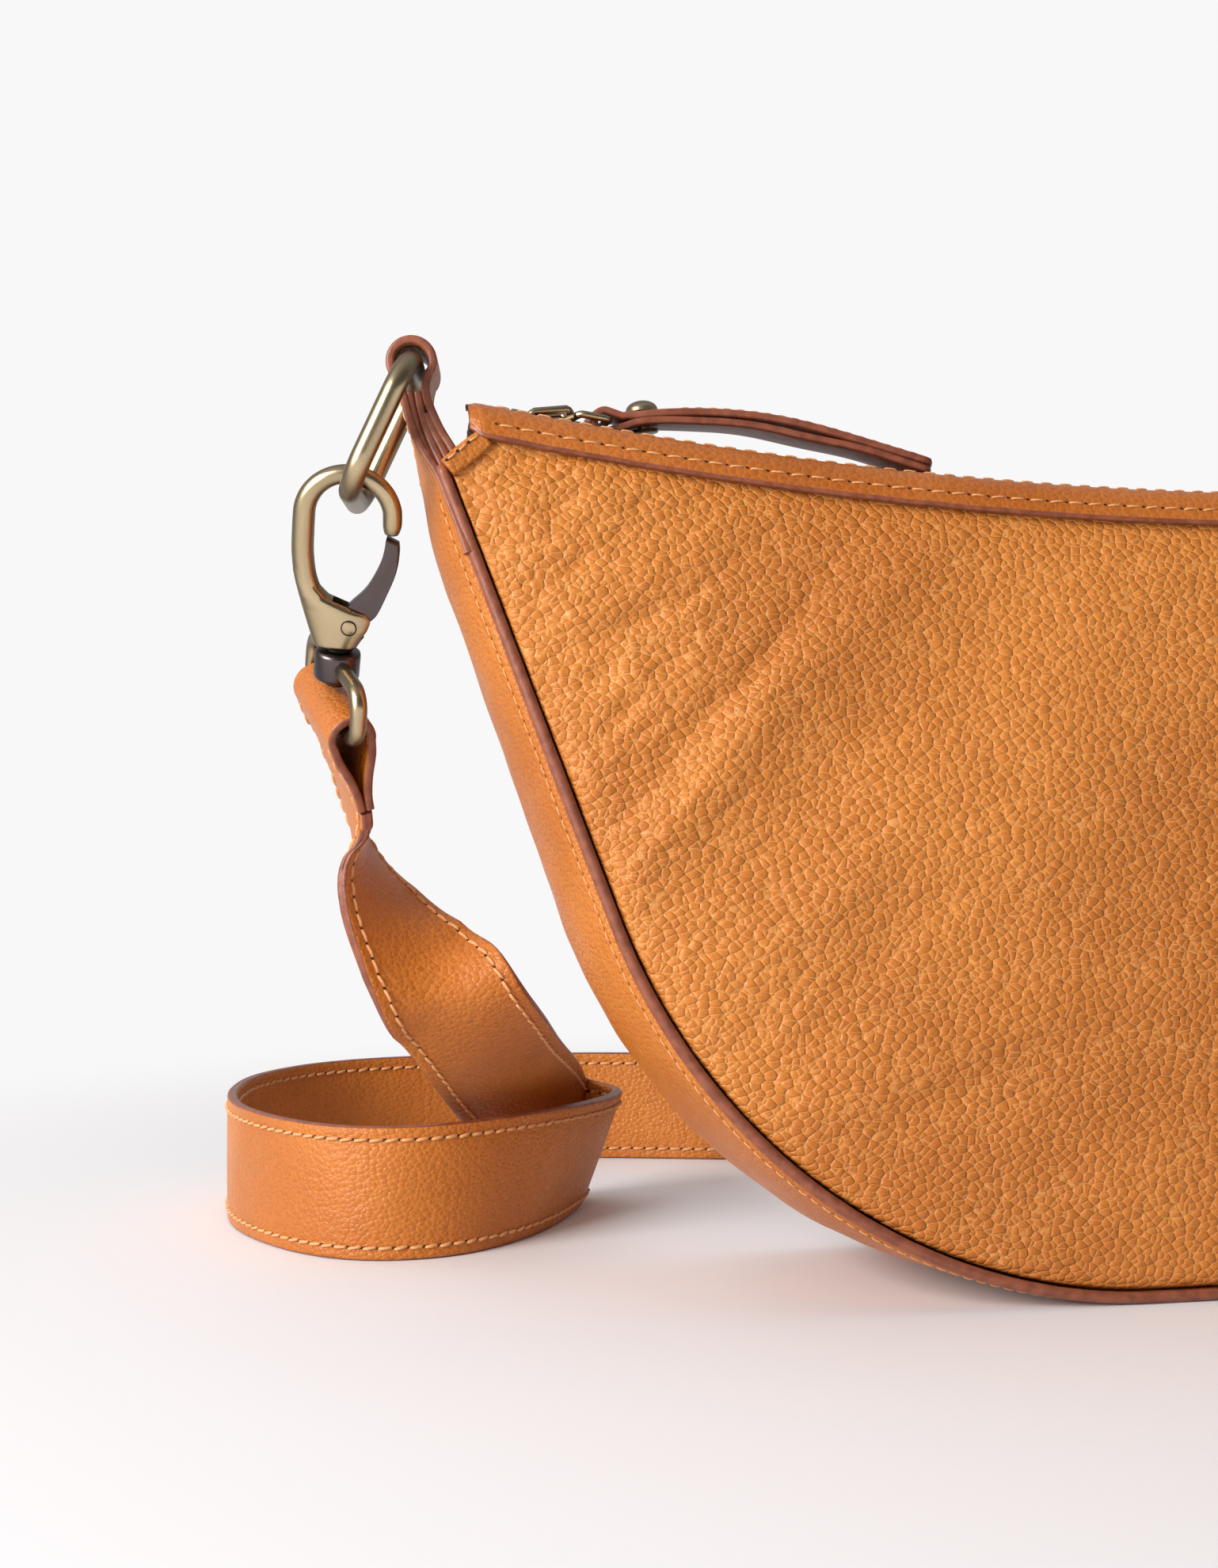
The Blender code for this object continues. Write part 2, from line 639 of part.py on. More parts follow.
def make_slider():
    """The slider with its bail, flat link and riveted leather tab, each on an empty at its own joint."""
    here = zip_matrix(SLIDER_X)

    def in_world(x, z):
        return (here @ Vector((x * MM, 0, z * MM))) / MM

    link_x, link_z = BAIL_LENGTH, BAIL_LEVEL + BAIL_RISE
    tab_x = link_x + LINK_LENGTH
    body = make_slider_body(here @ Matrix.Translation((0, 0, -SLIDER_DROP * MM)))
    bail = make_bail(here)
    link = make_link(here, link_x, link_z)
    tab, rivet = make_tab(here, tab_x, link_z)
    tab_pivot = pivot("puller_tab_pivot", in_world(tab_x, link_z), tab, rivet)
    link_pivot = pivot("puller_link_pivot", in_world(link_x, link_z), link, tab_pivot)
    bail_pivot = pivot("slider_bail_pivot", in_world(0, BAIL_LEVEL), bail, link_pivot)
    pivot("zip_slider_pivot", (0, 0, ZIP_LOW + ZIP_RADIUS), body, bail_pivot)


# ---------------------------------------------------------------- loops, rings and hooks


def ring_axes():
    """The ring's bar direction, the way its plane hangs, and the normal of that plane."""
    bar = Vector((math.sin(LOOP_TOE_IN), math.cos(LOOP_TOE_IN), 0))
    level = Vector((math.cos(LOOP_TOE_IN), -math.sin(LOOP_TOE_IN), 0))
    hang = -math.sin(RING_LEAN) * level - math.cos(RING_LEAN) * Vector((0, 0, 1))
    return bar, hang, bar.cross(hang)


def hook_axes():
    """The hook's own X, Y and Z: across its mouth, through its plane and up towards the ring."""
    up = (HOOK_CENTRE - EYE_BAR).normalized()
    guess = Vector((0.978, -0.208, 0))
    across = (guess - guess.dot(up) * up).normalized()
    return across, up.cross(across), up


def make_loop(name, mirror):
    """The folded leather end of the gusset that holds the ring."""
    bar, _, _ = ring_axes()
    level = Vector((bar.y, -bar.x, 0))
    matrix = mirror @ frame_at(LOOP_CENTRE, level, Vector((0, 0, 1)), -bar)
    outline = [(-1.2, -20.2), (7.2, -18.2), (6.4, -12.0)] + arc((0, 0), LOOP_OUTER, -15, 205, 12)
    hole = arc((0, 0), LOOP_HOLE, 0, 337.5, 15)
    plate(name, [outline, hole], LOOP_WIDTH / 2, "smooth_leather", matrix)


def make_ring(name, mirror):
    bar, hang, normal = ring_axes()
    half = RING_LENGTH / 2
    reach = RING_HALF_WIDTH - RING_CORNER
    path = []
    for cx, cy, start in ((reach, half - RING_CORNER, 90), (reach, RING_CORNER - half, 0)):
        path += arc((cx, cy), RING_CORNER, start, start - 90, 4)
    path += [(-x, y) for x, y in reversed(path)]
    matrix = mirror @ frame_at(LOOP_CENTRE + hang * half, bar, -hang, -bar.cross(hang))
    return rod(name, [(x, y, 0) for x, y in path], RING_WIRE, "antique_brass", True, matrix, 3)


PIN = (2.1, -23.6)
GATE_REACH = 21.2


def make_hook_body(name, matrix):
    """The open hook with its base, neck and riveted stem.

    The gate's slot and the pin's holes are cut from the base.
    """
    path = [(9.1, 0, -2.4), (9.2, 0, -0.5)]
    path += [(x, 0, z) for x, z in arc((0, 0), HOOK_RADIUS, 12, 180, 12)]
    path += [(-9.2, 0, -4), (-9.0, 0, -9), (-8.0, 0, -14), (-5.6, 0, -18.5), (-2.6, 0, -22.5)]
    hook = as_mesh(rod(name, path, HOOK_WIRE, "antique_brass", matrix=matrix, resolution=3))
    base = box("hook_base", (-5.2, -3.0, -27.2), (5.6, 3.0, -20.0), "antique_brass", matrix, 1.3)
    down = [(0, -24.0), (3.4, -24.0), (3.4, -28.9), (1.5, -29.4)]
    down += [(1.5, -37.0), (2.6, -37.0), (2.2, -38.2), (0, -38.6)]
    neck = turned("hook_neck", down, "antique_brass", matrix)
    boolean(hook, base, "UNION")
    boolean(hook, neck, "UNION")
    slot = box("gate_slot", (-1.9, -1.75, -26.4), (12, 1.75, -18), "antique_brass", matrix)
    boolean(hook, slot, "DIFFERENCE")
    across = lying(matrix @ Matrix.Translation((PIN[0] * MM, 0, PIN[1] * MM)))
    boolean(hook, cylinder("pin_hole", 1.3, 8, "antique_brass", across), "DIFFERENCE")
    return hook, across


def make_gate(name, matrix, across):
    """The sprung gate: a flat lever whose tip follows a circle round its pin and stops just under the hook's
    nose."""
    px, pz = PIN
    tip_angles = (66.5, 73.0)
    tip = [
        (px + GATE_REACH * math.cos(math.radians(a)), pz + GATE_REACH * math.sin(math.radians(a)))
        for a in tip_angles
    ]
    foot = arc(PIN, 2.3, 170, 370, 8)
    outline = tip + foot
    hole = arc(PIN, 1.3, 0, 330, 11)
    lever = plate(name, [outline, hole], 1.4, "gunmetal", lying(matrix))
    profile = [(0, 4.1), (1.2, 3.9), (1.9, 3.3), (1.0, 3.3), (1.0, -3.3), (1.9, -3.3), (1.2, -3.9), (0, -4.1)]
    pin = turned(name.replace("hook_gate", "gate_pin"), profile, "antique_brass", across, 12)
    leaf = box(
        name.replace("hook_gate", "gate_spring"), (-1.55, -1.2, -26.0), (-1.0, 1.2, -20.6), "gunmetal", matrix
    )
    return lever, pin, leaf


def make_eye(name, matrix):
    """The swivel cap and the D-shaped eye that holds the strap."""
    side = (EYE_BAR_AXIS - EYE_BAR_AXIS.dot(hook_axes()[2]) * hook_axes()[2]).normalized()
    across, through, _ = hook_axes()
    turn = math.atan2(-side.dot(across), side.dot(through))
    swivelled = matrix @ Matrix.Rotation(turn, 4, "Z")
    drop = (HOOK_CENTRE - EYE_BAR).length
    corner = 4.0
    path = [(3.2, -32.9)] + arc((EYE_HALF - 4.5, -37.4), 4.5, 90, 0, 3)
    path += arc((EYE_HALF - corner, -drop + corner), corner, 0, -90, 4)
    path += [(-x, z) for x, z in reversed(path)]
    # The eye's plane holds the hook's length and the strap's width, so the path runs in local YZ.
    wire = as_mesh(rod(name, [(0, y, z) for y, z in path], EYE_WIRE, "antique_brass", matrix=swivelled))
    profile = [(0, -29.9), (4.2, -29.9), (EYE_CAP_RADIUS, -30.7)]
    profile += [(EYE_CAP_RADIUS, -35.6), (4.2, -36.5), (0, -36.5)]
    cap = turned("eye_cap", profile, "antique_brass", matrix)
    boolean(wire, cap, "UNION")
    bore = cylinder("stem_bore", 1.9, 6, "antique_brass", matrix @ Matrix.Translation((0, 0, -33 * MM)))
    boolean(wire, bore, "DIFFERENCE")
    return wire


def make_end(place, mirror):
    """One end's fittings, each on an empty at its own joint."""
    make_loop(f"ring_loop_{place}", mirror)
    ring = make_ring(f"strap_ring_{place}", mirror)
    matrix = mirror @ frame_at(HOOK_CENTRE, *hook_axes())
    hook, across = make_hook_body(f"hook_body_{place}", matrix)
    gate, pin, leaf = make_gate(f"hook_gate_{place}", matrix, across)
    eye = make_eye(f"swivel_eye_{place}", matrix)
    _, hang, _ = ring_axes()

    def in_world(point):
        return mirror @ Vector(point)

    gate_at = in_world(HOOK_CENTRE + hook_axes()[0] * PIN[0] + hook_axes()[2] * PIN[1])
    gate_pivot = pivot(f"gate_pivot_{place}", gate_at, gate)
    eye_pivot = pivot(f"eye_pivot_{place}", in_world(EYE_BAR), eye)
    hook_at = in_world(LOOP_CENTRE + hang * RING_LENGTH)
    hook_pivot = pivot(f"hook_pivot_{place}", hook_at, hook, pin, leaf, gate_pivot, eye_pivot)
    pivot(f"ring_pivot_{place}", in_world(LOOP_CENTRE), ring, hook_pivot)


# ---------------------------------------------------------------- the strap


def smooth_route(route, step):
    """Stations every step along a Catmull-Rom curve: (point, width direction), square to the route."""
    points = [Vector(point) for point, _ in route]
    widths = [Vector(width) for _, width in route]

    def blended(values, i, t):
        a, b, c, d = (values[min(max(i + k, 0), len(values) - 1)] for k in (-1, 0, 1, 2))
        square = (2 * a - 5 * b + 4 * c - d) * t**2
        cube = (3 * b - a - 3 * c + d) * t**3
        return 0.5 * (2 * b + (c - a) * t + square + cube)

    fine = []
    for i in range(len(points) - 1):
        fine += [(blended(points, i, k / 20), blended(widths, i, k / 20)) for k in range(20)]
    fine.append((points[-1], widths[-1]))
    lengths = [0.0]
    for (a, _), (b, _) in zip(fine, fine[1:]):
        lengths.append(lengths[-1] + (b - a).length)
    count = round(lengths[-1] / step)
    stations = []
    j = 0
    for i in range(count + 1):
        want = lengths[-1] * i / count
        while j < len(fine) - 2 and lengths[j + 1] < want:
            j += 1
        t = (want - lengths[j]) / (lengths[j + 1] - lengths[j])
        point = fine[j][0].lerp(fine[j + 1][0], t)
        along = (fine[j + 1][0] - fine[j][0]).normalized()
        width = fine[j][1].lerp(fine[j + 1][1], t)
        width = (width - width.dot(along) * along).normalized()
        stations.append((point, along, width))
    return stations


def ribbon(name, stations, slot):
    """A flat strap lofted through its stations, square in section and closed at both ends."""
    mesh = bpy.data.meshes.new(name)
    bm = bmesh.new()
    rings = []
    for point, along, width in stations:
        face = along.cross(width) * STRAP_THICKNESS / 2
        edge = width * STRAP_WIDTH / 2
        corners = (point - edge - face, point + edge - face, point + edge + face, point - edge + face)
        rings.append([bm.verts.new(corner * MM) for corner in corners])
    for low, high in zip(rings, rings[1:]):
        for j in range(4):
            bm.faces.new((low[j], low[(j + 1) % 4], high[(j + 1) % 4], high[j]))
    bm.faces.new(rings[0])
    bm.faces.new(rings[-1])
    bmesh.ops.recalc_face_normals(bm, faces=bm.faces)
    bm.to_mesh(mesh)
    bm.free()
    return add(name, mesh, slot)


def make_strap():
    stations = smooth_route(STRAP_ROUTE, STRAP_STEP)
    last = len(stations) - 1
    for name, start, end in STRAP_PARTS:
        first, final = round(start * last), round(end * last)
        taken = []
        for i in range(first, final + 1):
            point, along, width = stations[i]
            shift = GAP / 2 if i == first else -GAP / 2 if i == final else 0
            taken.append((point + along * shift, along, width))
        ribbon(name, taken, "smooth_leather")


def make_fold(name, mirror):
    """The strap's end, folded round the eye's bar and sewn to itself."""
    down = Vector(STRAP_ROUTE[0][0]) - EYE_BAR
    down = (down - down.dot(EYE_BAR_AXIS) * EYE_BAR_AXIS).normalized()
    face = (-down).cross(EYE_BAR_AXIS)
    centre = EYE_BAR + down * 0.5
    matrix = mirror @ frame_at(centre, face, -down, face.cross(-down))
    outer_radius = FOLD_INNER + FOLD_THICKNESS
    outline = [(-FOLD_THICKNESS, -FOLD_LENGTH), (FOLD_THICKNESS, -FOLD_LENGTH), (FOLD_THICKNESS + 0.3, -13.5)]
    outline += arc((0, 0), outer_radius, -18, 198, 14) + [(-FOLD_THICKNESS - 0.3, -13.5)]
    hole = arc((0, 0), FOLD_INNER, -22, 202, 12) + [(-0.9, -9.5), (0.0, -11.5), (0.9, -9.5)]
    plate(name, [outline, hole], STRAP_WIDTH / 2, "smooth_leather", matrix)


make_shell()
make_inside()
make_top()
make_zip_ends()
make_slider()
for end_name, end_mirror in (("left", Matrix.Identity(4)), ("right", MIRROR)):
    make_end(end_name, end_mirror)
    make_fold(f"strap_fold_{end_name}", end_mirror)
make_strap()
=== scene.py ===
"""The looks of the crescent sling bag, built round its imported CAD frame.

The formulas and the strap's route are those of the CAD source, followed at a finer step. Lengths are in
millimetres until a mesh is made, and MM turns them into metres.
"""

import math

import bmesh
import bpy
from mathutils import Matrix, Vector, noise


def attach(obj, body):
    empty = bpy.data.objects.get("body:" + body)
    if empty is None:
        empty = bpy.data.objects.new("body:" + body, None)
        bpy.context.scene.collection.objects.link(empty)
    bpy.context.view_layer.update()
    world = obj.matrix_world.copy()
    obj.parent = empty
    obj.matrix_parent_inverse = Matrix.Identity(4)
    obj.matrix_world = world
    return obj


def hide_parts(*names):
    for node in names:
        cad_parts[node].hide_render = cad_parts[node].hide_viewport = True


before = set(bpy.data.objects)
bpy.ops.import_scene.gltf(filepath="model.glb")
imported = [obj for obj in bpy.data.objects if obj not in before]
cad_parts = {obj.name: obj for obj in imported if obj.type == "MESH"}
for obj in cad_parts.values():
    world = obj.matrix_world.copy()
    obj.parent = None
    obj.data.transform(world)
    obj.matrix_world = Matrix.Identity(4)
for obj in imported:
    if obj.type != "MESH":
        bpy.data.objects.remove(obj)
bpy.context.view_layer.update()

MM = 0.001

# The room: its backdrop, the side that it is bright on and how far, and the paper floor that fades into it.
BACKDROP = (0.950, 0.938, 0.944, 1)
ROOM_TONE = (0.97, 0.98, 1.0, 1)
BRIGHT_SIDE = (-0.55, 0.80, 0.25)
ROOM_FADE = (-0.7, 0.9, 0.08, 0.70)
FLOOR_PAPER = (0.785, 0.765, 0.77, 1)
FLOOR_RADII = (0.1, 400, 900, 1500, 3200)
FLOOR_FADE = (0.20, 0.50)

# The camera: level, turned 12 degrees, low in front of the bag.
CAMERA_PLACE = (-0.232, -0.463, 0.107)
CAMERA_TURN = math.radians(-12)
CAMERA_LENS = 51.45

# ---- sizes of the body, as in the CAD source
FOOT_HALF = 26.0
ARC_RADIUS = 120.0
ARC_ANGLE = math.radians(70)
CORNER_HEIGHT = 171.0
FOOT_DEPTH = 35.0
CORNER_DEPTH = 12.5
ZIP_RADIUS = 950.0
ZIP_LOW = 171.3
ZIP_HALF = 164.0
LEATHER = 2.0
GUSSET_BULGE = 4.0
PANEL_DOME = 5.0
PANEL_PROUD = 0.6
PIPING_RADIUS = 1.25
PIPING_INSET = 1.3
PANEL_INSET = 2.9
PANEL_TOP_DROP = 5.0
PANEL_TOP_HALF = 160.0
GUSSET_INSET = 0.7
CORNER_STRIP_TOP = 162.0
CORNER_STRIP_HALF_LAYER = 1.05
ZIP_END_HALF_WIDTH = 2.6
ZIP_END_HALF_LAYER = 0.85
BAND_EDGE = 5.2
BAND_HEIGHT = 8.2
BAND_THICKNESS = 1.8
BAND_HALF = 165.2
BACK_BAND_SHORTER = 3.2
BAND_SEAM_KNOTS = (7, 18)
TEETH_LEVEL = -5.1
TEETH_HALF = ZIP_HALF - 6
TOOTH_PITCH = 2.3
# Sections of a tooth: distance from the zip's middle, half height, half length.
TOOTH = ((2.5, 0.75, 0.50), (1.4, 0.85, 0.55), (0.7, 0.70, 0.42), (-0.1, 0.85, 0.62), (-0.45, 0.55, 0.40))

# ---- sizes of the pull, the loops, the rings and the hooks
SLIDER_X = -152.0
BAIL_LENGTH = 9.5
BAIL_HALF_WIDTH = 3.4
BAIL_WIRE = 0.8
BAIL_LEVEL = -0.95
BAIL_RISE = 3.1
BAIL_ARCH = 2.9
LINK_LENGTH = 7.5
LINK_WIRE = 0.8
LINK_LEVEL = BAIL_LEVEL + BAIL_RISE
TAB_X = BAIL_LENGTH + LINK_LENGTH
TAB_START = 2.4
TAB_LENGTH = 72.5
TAB_ARCH = 5.0
TAB_ARCH_SHAPE = 0.8
TAB_HALF_WIDTH = 5.5
TAB_LAYER = 1.6
TAB_SEAM_INSET = 1.3
RIVET_AT = 8.3
LOOP_CENTRE = Vector((-175.0, 0.0, 193.0))
LOOP_TOE_IN = math.radians(10)
LOOP_HALF_WIDTH = 10.0
LOOP_MIDLINE = 4.35
LOOP_HALF_LAYER = 0.9
LOOP_HALF_FILLER = 0.84
LOOP_SEAM_INSET = 2.6
RING_WIRE = 2.3
RING_LENGTH = 29.5
RING_HALF_WIDTH = 16.0
RING_CORNER = 8.0
RING_LEAN = math.radians(25)
HOOK_CENTRE = Vector((-188.2, 3.1, 162.5))
HOOK_RADIUS = 9.2
HOOK_WIRE = 2.2
OVAL_POWER = 0.8
CASTING_VOXEL = 0.34
SOFTENINGS = 7
PIN = (2.1, -23.6)
EYE_BAR = Vector((-189.6, 22.3, 123.1))
EYE_BAR_AXIS = Vector((-0.185, 0.880, 0.437)).normalized()
EYE_WIRE = 1.8
EYE_HALF = 18.0
EYE_CAP_RADIUS = 4.9

# ---- the strap, as in the CAD source
STRAP_HALF_WIDTH = 15.0
STRAP_HALF_THICKNESS = 1.3
STITCH_INSET = 2.9
SEWN_EDGES = (STITCH_INSET - STRAP_HALF_WIDTH, STRAP_HALF_WIDTH - STITCH_INSET)
FOLD_LENGTH = 17.5
FOLD_MIDLINE = 4.35
FOLD_HALF_LAYER = 0.93
EDGE_DENT = 0.16
UPRIGHT = (0.0, 0.0, 1.0)
# Where the strap stands on its edge on the floor.
STRAP_FLOOR_LEVEL = 15.1
STRAP_FLOOR = (
    (-157.0, 44.0), (-173.4, 39.5), (-188.0, 45.0), (-200.0, 61.7), (-207.3, 85.8), (-206.3, 114.3),
    (-197.8, 140.0), (-179.0, 160.0), (-150.0, 168.5), (-105.0, 166.0), (-61.0, 154.0), (-15.0, 146.0),
    (35.0, 146.0), (85.0, 152.0), (130.0, 156.0),
)
# The middle of the strap: each point, and the direction of the strap's width there.
STRAP_ROUTE = (
    ((-185.6, 31.05, 107.2), (-0.185, 0.880, 0.437)),
    ((-184.2, 34.1, 101.6), (-0.10, 0.92, 0.38)),
    ((-182.4, 35.6, 93.0), (0.15, 0.95, 0.20)),
    ((-178.6, 33.0, 82.0), (0.60, 0.79, 0.05)),
    ((-171.5, 28.5, 70.2), (0.93, 0.36, -0.06)),
    ((-163.0, 26.5, 58.8), (0.98, -0.05, 0.10)),
    ((-154.2, 37.0, 48.0), (0.95, -0.02, 0.28)),
    ((-145.6, 56.0, 38.0), (0.85, -0.01, 0.52)),
    ((-134.0, 80.0, 27.0), (0.62, 0.04, 0.78)),
    ((-125.5, 97.0, 19.5), (0.32, 0.04, 0.94)),
    ((-120.5, 107.0, 16.0), (0.26, 0.0, 0.96)),
    ((-115.4, 99.6, 15.0), (0.34, -0.03, 0.94)),
    ((-122.0, 82.0, 15.0), (0.28, -0.10, 0.95)),
    ((-138.2, 59.6, 15.1), (0.12, -0.06, 0.99)),
    *(((x, y, STRAP_FLOOR_LEVEL), UPRIGHT) for x, y in STRAP_FLOOR),
    ((165.0, 146.0, 15.4), (-0.04, 0.0, 1.0)),
    ((187.0, 122.0, 17.0), (-0.18, 0.0, 0.98)),
    ((195.0, 96.0, 21.0), (-0.44, 0.02, 0.90)),
    ((193.0, 72.0, 29.0), (-0.70, 0.02, 0.72)),
    ((187.0, 50.0, 40.0), (-0.90, 0.0, 0.42)),
    ((180.0, 34.0, 52.0), (-0.97, -0.02, 0.22)),
    ((176.0, 28.5, 65.0), (-0.92, 0.38, 0.02)),
    ((178.6, 32.0, 80.0), (-0.62, 0.78, 0.04)),
    ((182.4, 35.6, 93.0), (-0.15, 0.95, 0.20)),
    ((184.2, 34.1, 101.6), (0.10, 0.92, 0.38)),
    ((185.6, 31.05, 107.2), (0.185, 0.880, 0.437)),
)

# Soft folds of the leather face: middle (x, z), direction in degrees, half length, half width, height.
FOLDS = (
    (-112, 128, 46, 30, 2.6, -1.1),
    (-109, 118, 46, 40, 6.0, 1.6),
    (-98, 104, 44, 40, 7.0, -0.9),
    (-132, 104, 47, 26, 3.0, -0.7),
    (-126, 97, 47, 26, 4.5, 0.8),
    (-140, 124, 38, 20, 2.2, -0.6),
    (-137, 129, 37, 22, 2.6, 0.7),
    (-131, 141, 30, 24, 2.0, -0.6),
    (-133, 146, 29, 24, 2.4, 0.6),
    (-147, 150, 30, 14, 1.8, -0.4),
    (-122, 155, 20, 24, 2.6, 0.5),
    (-92, 86, 38, 30, 5.0, 0.7),
    (-84, 74, 33, 34, 6.0, -0.9),
    (-98, 64, 42, 22, 3.0, 0.6),
    (-66, 46, 18, 26, 4.0, -0.7),
    (-60, 54, 18, 30, 6.0, 0.7),
    (-40, 110, 30, 44, 15.0, 0.9),
    (30, 84, 150, 46, 14.0, -0.7),
    (84, 112, 140, 40, 8.0, 1.0),
    (112, 128, 135, 30, 4.0, -1.0),
    (124, 106, 128, 26, 4.0, 1.0),
)

SIDES = (("front", -1), ("back", 1))
CORNERS = (("left", -1), ("right", 1))
ENDS = (("left", Matrix.Identity(4)), ("right", Matrix.Scale(-1, 4, (1, 0, 0))))

# How finely the long pieces are cut.
SHELL_STEPS = 300
FACE_ROWS = 110
GUSSET_ROWS = 24
BAND_STEPS = 200
TAB_STEPS = 60
ROUTE_STEPS = 20
STRAP_STEP = 1.6
TURNED_SIDES = 28

# Seams: the pitch, length and radius of a stitch. A stitch's side view: share of its length, share of its rise.
GUSSET_SEAM = (3.0, 2.0, 0.17)
FACING_SEAM = (4.4, 2.9, 0.21)
CORNER_SEAM = (2.7, 2.1, 0.24)
PULLER_SEAM = (3.0, 2.0, 0.16)
LOOP_SEAM = (3.0, 2.1, 0.20)
FOLD_SEAM = (3.4, 2.5, 0.24)
STRAP_SEAM = (3.5, 3.0, 0.40)
STITCH_VIEW = ((-0.5, -0.9), (-0.38, 0.5), (0.0, 1.0), (0.38, 0.5), (0.5, -0.9))
HOLE_SIDES = 7


# ---------------------------------------------------------------- materials


class Nodes:
    """A node tree with short calls for its nodes."""

    def __init__(self, tree):
        self.tree = tree

    def node(self, kind, inputs=None, **settings):
        made = self.tree.nodes.new(kind)
        for key, value in settings.items():
            setattr(made, key, value)
        for key, value in (inputs or {}).items():
            if isinstance(value, bpy.types.NodeSocket):
                self.tree.links.new(value, made.inputs[key])
            else:
                made.inputs[key].default_value = value
        return made

    def show(self, kind, shader):
        """Makes a shader what the tree's output shows."""
        output = next(node for node in self.tree.nodes if node.type == kind)
        self.tree.links.new(shader.outputs[0], output.inputs["Surface"])

    def place(self, scale, turn=0.0):
        """Coordinates in metres times scale, turned about the front's own normal."""
        here = self.node("ShaderNodeTexCoord").outputs["Object"]
        settings = {"Vector": here, "Rotation": (0, math.radians(turn), 0), "Scale": scale}
        return self.node("ShaderNodeMapping", settings).outputs["Vector"]

    def noise(self, where, scale=1.0, detail=3.0, roughness=0.5):
        settings = {"Vector": where, "Scale": scale, "Detail": detail, "Roughness": roughness}
        return self.node("ShaderNodeTexNoise", settings).outputs["Fac"]

    def cells(self, where, scale, randomness, feature):
        settings = {"Vector": where, "Scale": scale, "Randomness": randomness}
        return self.node("ShaderNodeTexVoronoi", settings, feature=feature).outputs

    def shift(self, operation, a, b):
        """Sum or difference of two vectors."""
        return self.node("ShaderNodeVectorMath", {0: a, 1: b}, operation=operation).outputs[0]

    def bend(self, where, amount, scale):
        """The coordinates pushed about by a slow noise."""
        settings = {"Vector": where, "Scale": scale, "Detail": 2.0}
        push = self.shift("SUBTRACT", self.node("ShaderNodeTexNoise", settings).outputs["Color"], (0.5, 0.5, 0.5))
        push = self.node("ShaderNodeVectorMath", {0: push, "Scale": amount}, operation="SCALE").outputs[0]
        return self.shift("ADD", where, push)

    def remap(self, value, low, high, to_low=0.0, to_high=1.0, smooth=True):
        settings = {"Value": value, "From Min": low, "From Max": high, "To Min": to_low, "To Max": to_high}
        kind = "SMOOTHSTEP" if smooth else "LINEAR"
        return self.node("ShaderNodeMapRange", settings, interpolation_type=kind).outputs["Result"]

    def math(self, operation, a, b=0.0):
        return self.node("ShaderNodeMath", {0: a, 1: b}, operation=operation).outputs[0]

    def mix(self, factor, a, b):
        """A blend of two colours, each an output or red, green and blue."""
        a, b = ((*colour, 1) if isinstance(colour, tuple) else colour for colour in (a, b))
        return self.node("ShaderNodeMix", {0: factor, 6: a, 7: b}, data_type="RGBA").outputs[2]


class Finish(Nodes):
    """A material, and the shader that its finished colour, roughness and relief go to."""

    def __init__(self, name, roughness, metallic=0.0):
        self.material = bpy.data.materials.new(name)
        self.material.use_nodes = True
        super().__init__(self.material.node_tree)
        self.shader = self.tree.nodes["Principled BSDF"]
        self.shader.inputs["Roughness"].default_value = roughness
        self.shader.inputs["Metallic"].default_value = metallic

    def wear(self, colour, roughness=None, height=None, depth=0.0, strength=1.0):
        """Links colour, roughness and height to the shader; depth is the relief in millimetres."""
        self.tree.links.new(colour, self.shader.inputs["Base Color"])
        if roughness is not None:
            self.tree.links.new(roughness, self.shader.inputs["Roughness"])
        if height is not None:
            bump = self.node("ShaderNodeBump", {"Height": height, "Distance": depth * MM, "Strength": strength})
            self.tree.links.new(bump.outputs["Normal"], self.shader.inputs["Normal"])
        return self.material


